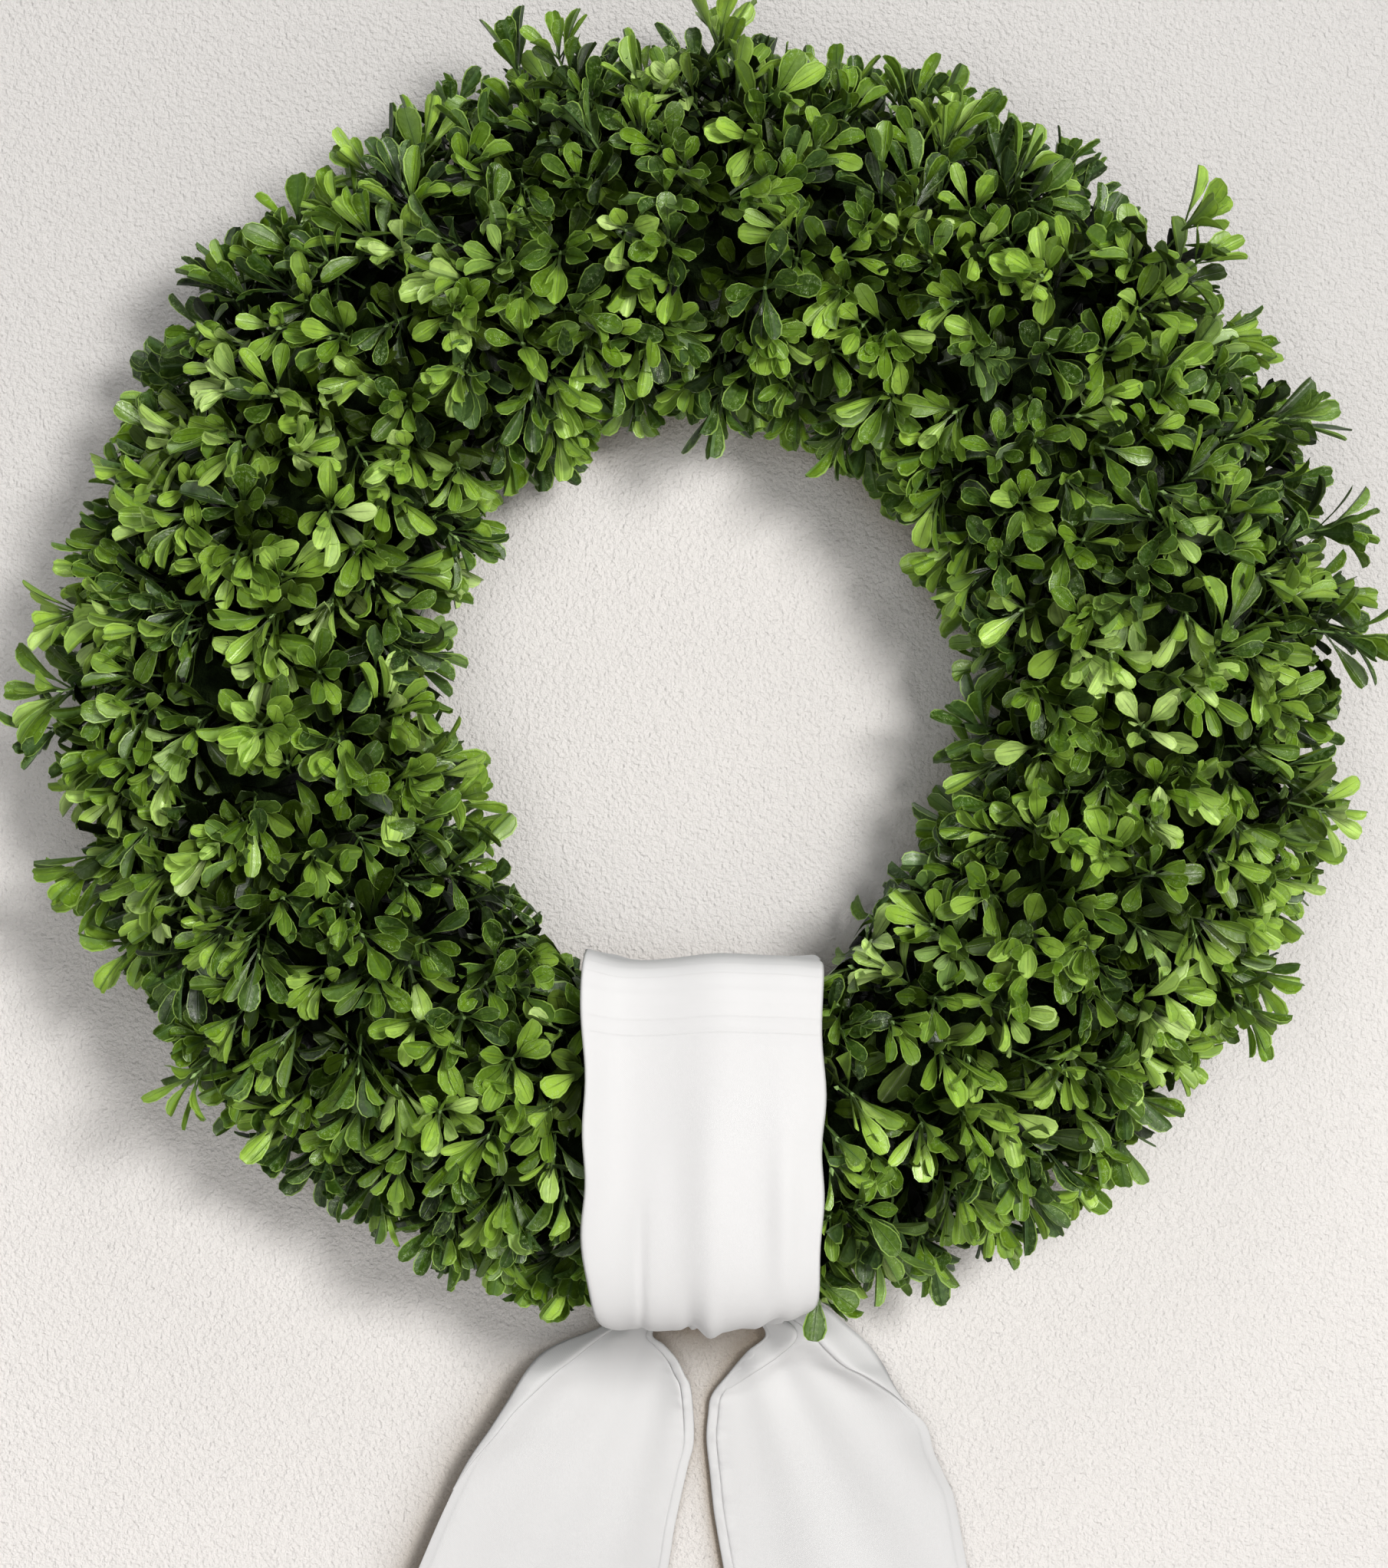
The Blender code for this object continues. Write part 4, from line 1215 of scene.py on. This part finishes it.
def binding_wire(look):
    """One thin wire, a turn round the frame and the stems at each bunch's start."""
    back = RING_WIRE + CLEARANCE + BINDING_WIRE
    inner, outer = TURN_RADII
    points = []
    for index in range(BUNCHES):
        for radius, y in ((outer, back), (outer, TURN_FRONT_Y), (inner, TURN_FRONT_Y), (inner, back)):
            points.append(ring_point(boundary_angle(index, radius, y), radius, y))
    path = smooth_path(points, 5)
    path[:, 1] = np.minimum(path[:, 1], back + WIRE_BULGE)
    mesh = Mesh()
    mesh.add(*tube(path, BINDING_WIRE, BINDING_SIDES))
    made = mesh.made("wound_wire", look, sharp=40)
    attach(made, "root")
    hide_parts("binding_wire")


# Sash

CLOTH = 0.0006
# The cloth inside the knot and the turn over it, with how many points each has from side to side and round
KNOT_SHARE = 0.86
KNOT_GRID = (15, 33)
WRAP_SIZE = (0.0095, 0.0084, 0.0135)
WRAP_SLANT = math.tan(math.radians(25))
WRAP_GRID = (17, 41)

# The band goes round in turns from the knot: under the wreath, up its front and through its middle
BAND_ENDS = (0.012, 0.988)
BAND_STEPS = 120
BAND_COLUMNS = 60
CORNER_TURNS = (0.455, 0.540)
CORNER_STEPS = 25
BACK_RIPPLE = 0.0002
TOP_TURN = 1 - KNOT_TURN / (2 * math.pi)
LOW_TURN = 0.202
FOLD_EASE = 0.06
EDGE_ROLL = 0.0010
# The band's width as a share of its full one, by turns
BAND_SPREAD = (
    (0.0, 0.34), (0.10, 0.54), (0.202, 0.760), (0.234, 0.875), (0.265, 0.950), (0.30, 0.975),
    (0.36, 0.975), (0.50, 0.97), (0.57, 0.96), (0.62, 0.945), (0.75, 0.92), (0.84, 0.88), (1.0, 0.34),
)
# How far the cloth stands out along the band's highest line and its lowest, by the share across it
TOP_WAVE = (
    (-1.0, 0.0045), (-0.81, 0.0038), (-0.60, 0.0013), (-0.45, -0.0010), (-0.25, -0.0003), (0.09, -0.0010),
    (0.34, 0.0), (0.49, 0.0006), (0.56, 0.0002), (0.66, 0.0017), (0.79, 0.0029), (1.0, 0.0037),
)
BOTTOM_WAVE = (
    (-1.0, 0.0004), (-0.91, 0.0014), (-0.70, 0.0003), (-0.48, 0.0010), (-0.26, 0.0010), (-0.11, -0.0022),
    (0.08, 0.0042), (0.22, 0.0014), (0.42, 0.0), (0.54, 0.0004), (0.72, -0.0075), (0.86, -0.0062),
    (1.0, -0.0085),
)
# Each fold's middle and width in metres, its height, and the turns at which it starts and ends
FOLDS = (
    (-0.056, 0.0130, 0.0085, 0.32, 0.58),
    (-0.0272, 0.0014, -0.0013, 0.10, 0.30),
    (-0.022, 0.0080, 0.0009, 0.12, 0.36),
    (0.008, 0.0210, 0.0048, 0.24, 0.58),
    (0.002, 0.0080, 0.0012, 0.12, 0.40),
    (0.036, 0.0065, 0.0026, 0.10, 0.37),
    (0.036, 0.0140, 0.0022, 0.30, 0.58),
    (-0.020, 0.0100, 0.0008, 0.56, 0.80),
    (0.024, 0.0080, 0.0008, 0.56, 0.80),
)

TAIL_ROWS = 118
TAIL_MIDDLE = 24
TAIL_TOP = 0.2865
TAIL_BOTTOM = 0.445
TAIL_BACK_Y = 0.0
SETTLED_DROP = 0.335
FAN_DROP = 0.250
FOLD_DEPTH = 0.0017
# The width under which a tail's hem shrinks, and how far its cloth waves up and down below a drop
NARROW_TAIL = 0.05
SWAY = 0.003
SWAY_DROP = 0.40
# Distances from a hemmed edge, and how far the hem stands out of the cloth there
HEM_STEPS = (0.0, 0.0003, 0.0008, 0.0016, 0.0026, 0.0036, 0.0042, 0.0045, 0.0049, 0.0056, 0.0070)
HEM_RELIEF = (0.0, 0.0006, 0.0009, 0.0010, 0.0010, 0.0009, 0.0005, -0.0005, 0.0001, 0.0003, 0.0)
HEM_SEAM = 0.0045
# Edges of the tails and lines of their turned-over parts: distance from the sash's middle and drop
LEFT_OUTER = (
    (-0.018, 0.2860), (-0.034, 0.2925), (-0.0506, 0.3025), (-0.0700, 0.3099), (-0.0817, 0.3183),
    (-0.0935, 0.3367), (-0.1011, 0.3485), (-0.1112, 0.3636), (-0.1228, 0.3871), (-0.1354, 0.4156),
    (-0.1500, 0.4450),
)
LEFT_INNER = (
    (-0.012, 0.2865), (-0.0250, 0.3036), (-0.0196, 0.3099), (-0.0138, 0.3165), (-0.0100, 0.3241),
    (-0.0070, 0.3317), (-0.0057, 0.3551), (-0.0087, 0.3686), (-0.0146, 0.3955), (-0.0179, 0.4156),
    (-0.0250, 0.4450),
)
RIGHT_INNER = (
    (0.012, 0.2865), (0.0282, 0.3040), (0.0197, 0.3133), (0.0114, 0.3233), (0.0030, 0.3342),
    (0.0013, 0.3434), (0.0005, 0.3551), (0.0022, 0.3720), (0.0039, 0.3886), (0.0064, 0.4038),
    (0.0086, 0.4156), (0.0140, 0.4450),
)
RIGHT_OUTER = (
    (0.018, 0.2840), (0.036, 0.2865), (0.0542, 0.2914), (0.0659, 0.3007), (0.0760, 0.3099),
    (0.0828, 0.3190), (0.0886, 0.3299), (0.0954, 0.3400), (0.1037, 0.3485), (0.1070, 0.3602),
    (0.1130, 0.3736), (0.1171, 0.3836), (0.1230, 0.4156), (0.1290, 0.4450),
)
LEFT_TURNED = (
    (-0.0220, 0.2900), (-0.0456, 0.3039), (-0.0616, 0.3158), (-0.0700, 0.3216), (-0.0801, 0.3309),
    (-0.0895, 0.3399), (-0.0985, 0.3511), (-0.1093, 0.3637), (-0.1180, 0.3765),
)
RIGHT_TURNED = (
    (0.0240, 0.2880), (0.0467, 0.3012), (0.0552, 0.3105), (0.0643, 0.3190), (0.0744, 0.3241),
    (0.0873, 0.3325), (0.0975, 0.3420),
)
RIGHT_FLAP = (
    (0.0260, 0.2900), (0.0425, 0.3030), (0.0350, 0.3143), (0.0232, 0.3225), (0.0118, 0.3305),
    (0.0032, 0.3342),
)
# A turned-over part's points, how far it lies off the tail, and over what drop it flattens at its end
STRIP_ROWS = 34
STRIP_COLUMNS = 10
STRIP_LIFT = 0.0004
STRIP_END = 0.014
# Over what drop a ridge rises at its start and sinks at its end
RIDGE_START = 0.02
RIDGE_END = 0.03
# Soft ridges along lines of the tails: from and to a drop, height, and width to the left and the right
RIDGES = (
    (LEFT_OUTER, 0.305, 0.445, 0.0150, 0.030, 0.030),
    (LEFT_TURNED, 0.290, 0.378, 0.0040, 0.009, 0.014),
    (LEFT_INNER, 0.292, 0.352, 0.0050, 0.016, 0.006),
    (RIGHT_FLAP, 0.290, 0.342, 0.0056, 0.012, 0.010),
    (RIGHT_TURNED, 0.290, 0.352, 0.0072, 0.011, 0.012),
    (RIGHT_OUTER, 0.335, 0.385, 0.0036, 0.010, 0.010),
)


def smooth_between(knots, value):
    """A smooth line through knots, flat at each."""
    places, heights = np.array(knots).T
    k = np.clip(np.searchsorted(places, value) - 1, 0, len(places) - 2)
    return heights[k] + (heights[k + 1] - heights[k]) * ease(places[k], places[k + 1], value)


def band_section(turn):
    """Depth, drop and outward direction of the band, going round from the knot."""
    angle = KNOT_TURN + 2 * math.pi * turn
    cosine, sine = math.cos(angle), math.sin(angle)
    power = BAND_BACK_POWER
    if sine < 0:
        power = BAND_UPPER_POWER if cosine > 0 else BAND_LOWER_POWER
    scale = (abs(cosine) ** power + abs(sine) ** power) ** (-1 / power)
    rise = (BAND_HALF_HEIGHT if cosine > 0 else BAND_LOWER_HEIGHT) * cosine * scale
    depth = BAND_CENTRE_Y + BAND_HALF_DEPTH * sine * scale
    drop = BAND_CENTRE_DROP - rise + band_tilt(depth, rise)
    out = unit(np.array((0.0, sine * scale / BAND_HALF_DEPTH, cosine * scale / BAND_HALF_HEIGHT)))
    return depth, drop, out


def band_relief(turn, across, reach):
    """How far the cloth of the band stands out, with its gathers, folds, edge lines and rolled sides."""
    gathered = 1 - min(1.0, min(turn, 1 - turn) / GATHER_TURN)
    rise = gathered * (0.0032 * np.sin(across * 13 + 1.7) + 0.0014 * np.sin(across * 29))
    for centre, width, height, start, end in FOLDS:
        held = within(start - FOLD_EASE, start + FOLD_EASE, end - FOLD_EASE, end + FOLD_EASE, turn)
        rise += height * held * np.exp(-(((across * reach - centre) / width) ** 2))
    upper = math.exp(-(((turn - TOP_TURN) / 0.050) ** 2))
    lower = math.exp(-(((turn - LOW_TURN) / 0.045) ** 2))
    rise += upper * smooth_between(TOP_WAVE, across) + lower * smooth_between(BOTTOM_WAVE, across)
    return rise - EDGE_ROLL * np.clip((np.abs(across) - 0.97) / 0.03, 0, 1) ** 2


def band_rows():
    """The band from the knot round the wreath's foot and back to it, which lies over the wires behind."""
    across = np.linspace(-1, 1, BAND_COLUMNS + 1)
    across = across * (1.2 - 0.2 * across**2)
    corners = np.linspace(*CORNER_TURNS, CORNER_STEPS + 1)
    turns = np.union1d(np.linspace(*BAND_ENDS, BAND_STEPS + 1), corners)
    spreads = np.interp(turns, *zip(*BAND_SPREAD))
    spreads = np.convolve(np.pad(spreads, 3, mode="edge"), np.ones(7) / 7, mode="valid")
    rows = []
    for turn, spread in zip(turns, spreads):
        depth, drop, out = band_section(turn)
        reach = BAND_HALF_WIDTH * spread
        rise = band_relief(turn, across, reach)
        wave = 0.0008 * np.sin(74 * turn + 2.1 * np.sign(across)) + 0.0005 * np.sin(31 * turn + across)
        x = BAND_X + across * (reach + wave * across**4)
        row = np.stack((x, np.full(len(x), depth), np.full(len(x), CENTRE_Z - drop)), axis=1)
        row = row + out[None] * rise[:, None]
        row[:, 1] = np.minimum(row[:, 1], SASH_BACK_Y)
        over_wires = np.maximum(row[:, 1], SASH_BACK_Y - BACK_RIPPLE)
        row[:, 1] += (over_wires - row[:, 1]) * ease(-0.003, 0.002, depth)
        rows.append(row)
    return np.array(rows)


def line_at(line, drops):
    """Where a line of the tails lies at each drop, smooth between its own points."""
    path = smooth_path([(x, drop, 0.0) for x, drop in line], 8)
    return np.interp(drops, path[:, 1], path[:, 0])


def tail_depth(x, drop):
    """How deep the hanging cloth lies: it settles on the wall in broad folds that fan out from the knot."""
    settled = KNOT_Y + (TAIL_BACK_Y - KNOT_Y) * ease(KNOT_DROP, SETTLED_DROP, drop)
    fan = np.arctan2(x, drop - FAN_DROP)
    folds = 0.6 * np.sin(15 * fan + 0.6) + 0.4 * np.sin(27 * fan + 2.0)
    depth = settled + FOLD_DEPTH * folds
    for line, first, last, height, left, right in RIDGES:
        beside = x - line_at(line, drop)
        held = within(first, first + RIDGE_START, last - RIDGE_END, last, drop)
        depth = depth - height * held * np.exp(-((beside / np.where(beside < 0, left, right)) ** 2))
    return depth


def hem_relief(distance, along, strength=1.0):
    """How far a stitched hem stands out of the cloth, puckered a little along its seam."""
    pucker = 0.0007 * np.sin(along / 0.00105) * np.sin(along / 0.0053 + 1) + 0.0005 * np.sin(along / 0.0031)
    beside_seam = np.exp(-(((distance - HEM_SEAM) / 0.0022) ** 2))
    return strength * (np.interp(distance, HEM_STEPS, HEM_RELIEF) + pucker * beside_seam)


def in_place(x, y, drop):
    return np.stack((SASH_X + x, y, CENTRE_Z - drop), axis=2)


def tail_panel(outer, inner, fades, faded):
    """A tail from the knot to its bottom hem, with a hem along its inner side.

    Over the drops in fades, the side hem flattens to the share faded.
    """
    hem = np.array(HEM_STEPS)
    falling = (np.arange(TAIL_ROWS) / TAIL_ROWS) ** 1.3
    drops = TAIL_TOP + (TAIL_BOTTOM - hem[-1] - TAIL_TOP) * falling
    drops = np.concatenate((drops, TAIL_BOTTOM - hem[::-1]))
    first, last = line_at(outer, drops)[:, None], line_at(inner, drops)[:, None]
    width = np.abs(last - first)
    scale = np.minimum(1.0, width / NARROW_TAIL)
    start = scale * hem
    end = width - scale * hem[::-1]
    middle = start[:, -1:] + (end[:, :1] - start[:, -1:]) * np.linspace(0, 1, TAIL_MIDDLE + 2)[1:-1]
    inward = np.concatenate((start, middle, end), axis=1)
    x = first + np.sign(last - first) * inward
    drop = drops[:, None] + 0 * x
    strength = 1 - (1 - faded) * ease(*fades, drop)
    side_hem = scale * hem_relief((width - inward) / scale, drop, strength)
    relief = side_hem + hem_relief(TAIL_BOTTOM - drop, x)
    sway = SWAY * ease(SWAY_DROP, TAIL_BOTTOM, drop) * np.sin(48 * x + 1)
    return in_place(x, tail_depth(x, drop) - relief, drop + sway)


def turned_over(fold, free, rise):
    """A part of a tail turned over towards the front, from the fold at its edge to its free line."""
    drops = np.linspace(free[0][1], free[-1][1], STRIP_ROWS + 1)[:, None]
    share = 1 - np.linspace(1, 0, STRIP_COLUMNS + 1) ** 1.5
    x = line_at(fold, drops) + (line_at(free, drops) - line_at(fold, drops)) * share
    drop = drops + 0 * x
    ending = 1 - ease(free[-1][1] - STRIP_END, free[-1][1], drop)
    bulge = np.interp(share, (0.0, 0.2, 0.8, 0.93, 1.0), (0.0, 0.5, 1.0, 0.9, 0.1))
    return in_place(x, tail_depth(x, drop) - (STRIP_LIFT + rise * ending * bulge), drop)


def knot_lump():
    """The cloth bunched inside the knot, from its left end to its right one."""
    around = np.linspace(0, 2 * math.pi, KNOT_GRID[1])[None, :]
    along = math.pi * np.linspace(0.08, 0.92, KNOT_GRID[0])[:, None]
    swell = 1 + 0.07 * np.sin(6 * around + 5 * along) + 0.05 * np.sin(11 * around - 7 * along)
    half = np.array(KNOT_SIZE) * KNOT_SHARE
    x = -half[0] * np.cos(along) + 0 * around
    y = KNOT_Y + half[1] * np.sin(along) * np.cos(around) * swell
    return in_place(x, y, KNOT_DROP - half[2] * np.sin(along) * np.sin(around) * swell)


def knot_wrap():
    """The pleated turn of cloth that goes slantwise over the knot."""
    around = np.linspace(0, 2 * math.pi, WRAP_GRID[1])[None, :]
    across = np.linspace(-1, 1, WRAP_GRID[0])[:, None]
    size = 1 + 0.06 * np.cos(3 * math.pi * across + 0.6 * np.sin(around)) - 0.22 * across**4
    rise = WRAP_SIZE[2] * size * np.sin(around)
    x = WRAP_SIZE[0] * across * (1 + 0.1 * np.cos(2 * around)) + WRAP_SLANT * rise
    return in_place(x, KNOT_Y + WRAP_SIZE[1] * size * np.cos(around), KNOT_DROP - rise)


def add_sheet(mesh, grid, width, length):
    """Adds a sheet from a grid of points, with its threads' places."""
    rows, columns = grid.shape[:2]
    across = np.broadcast_to(np.linspace(0, width, columns)[None, :], (rows, columns))
    along = np.broadcast_to(np.linspace(0, length, rows)[:, None], (rows, columns))
    places = np.stack((across, along, along * 0), axis=2).reshape(-1, 3)
    corners = [r * columns + c for r in range(rows - 1) for c in range(columns - 1)]
    faces = [[a, a + 1, a + columns + 1, a + columns] for a in corners]
    mesh.add(grid.reshape(-1, 3), faces, cloth_place=places)


def sash(look):
    """The band, the two tails with their turned-over parts, and the knot, as one strip of cloth."""
    mesh = Mesh()
    # Each sheet with its width and length, over which its threads are laid
    sheets = (
        (band_rows(), 2 * BAND_HALF_WIDTH, 0.47),
        (tail_panel(LEFT_OUTER, LEFT_INNER, (0.336, 0.366), 0.22), 0.12, 0.16),
        (tail_panel(RIGHT_OUTER, RIGHT_INNER, (0.360, 0.425), 0.45), 0.12, 0.16),
        (turned_over(LEFT_OUTER, LEFT_TURNED, 0.0014), 0.01, 0.09),
        (turned_over(RIGHT_OUTER, RIGHT_TURNED, 0.0022), 0.02, 0.06),
        (turned_over(RIGHT_INNER, RIGHT_FLAP, 0.0016), 0.02, 0.05),
        (knot_lump(), 0.07, 0.05),
        (knot_wrap(), 0.07, 0.02),
    )
    for grid, width, length in sheets:
        add_sheet(mesh, grid, width, length)
    made = mesh.made("sash_strip", look, sharp=70)
    solid = made.modifiers.new("thickness", "SOLIDIFY")
    solid.thickness = CLOTH
    solid.offset = 0
    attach(made, "root")
    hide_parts("sash")


def main():
    camera()
    for name, (place, size, power, colour) in LIGHTS.items():
        area_light(name, place, size, power, colour)
    studio_world()
    bpy.context.scene.view_settings.view_transform = "Standard"
    backdrop()
    bunches = [Bunch(index) for index in range(BUNCHES)]
    sprigs(bunches)
    under_tufts(bunches)
    hanging_sprig(bunches)
    leaf = leaf_look("boxwood_leaf", 0.5)
    # a low-gloss copy of the leaf look for leaves deep in the sprigs: painted shade, their reflections kept
    # down
    shaded_leaf = leaf_look("boxwood_shaded_leaf", 0.08)
    stem = stem_look()
    inside = core_shade_look()
    for bunch in bunches:
        foliage(bunch, leaf, shaded_leaf, stem, inside)
    wire_frame(wire_look("frame_enamel", (0.020, 0.050, 0.022), (0.035, 0.080, 0.035), 0.42))
    binding_wire(wire_look("binding_enamel", (0.020, 0.070, 0.022), (0.040, 0.110, 0.040), 0.38))
    sash(cloth_look())


main()
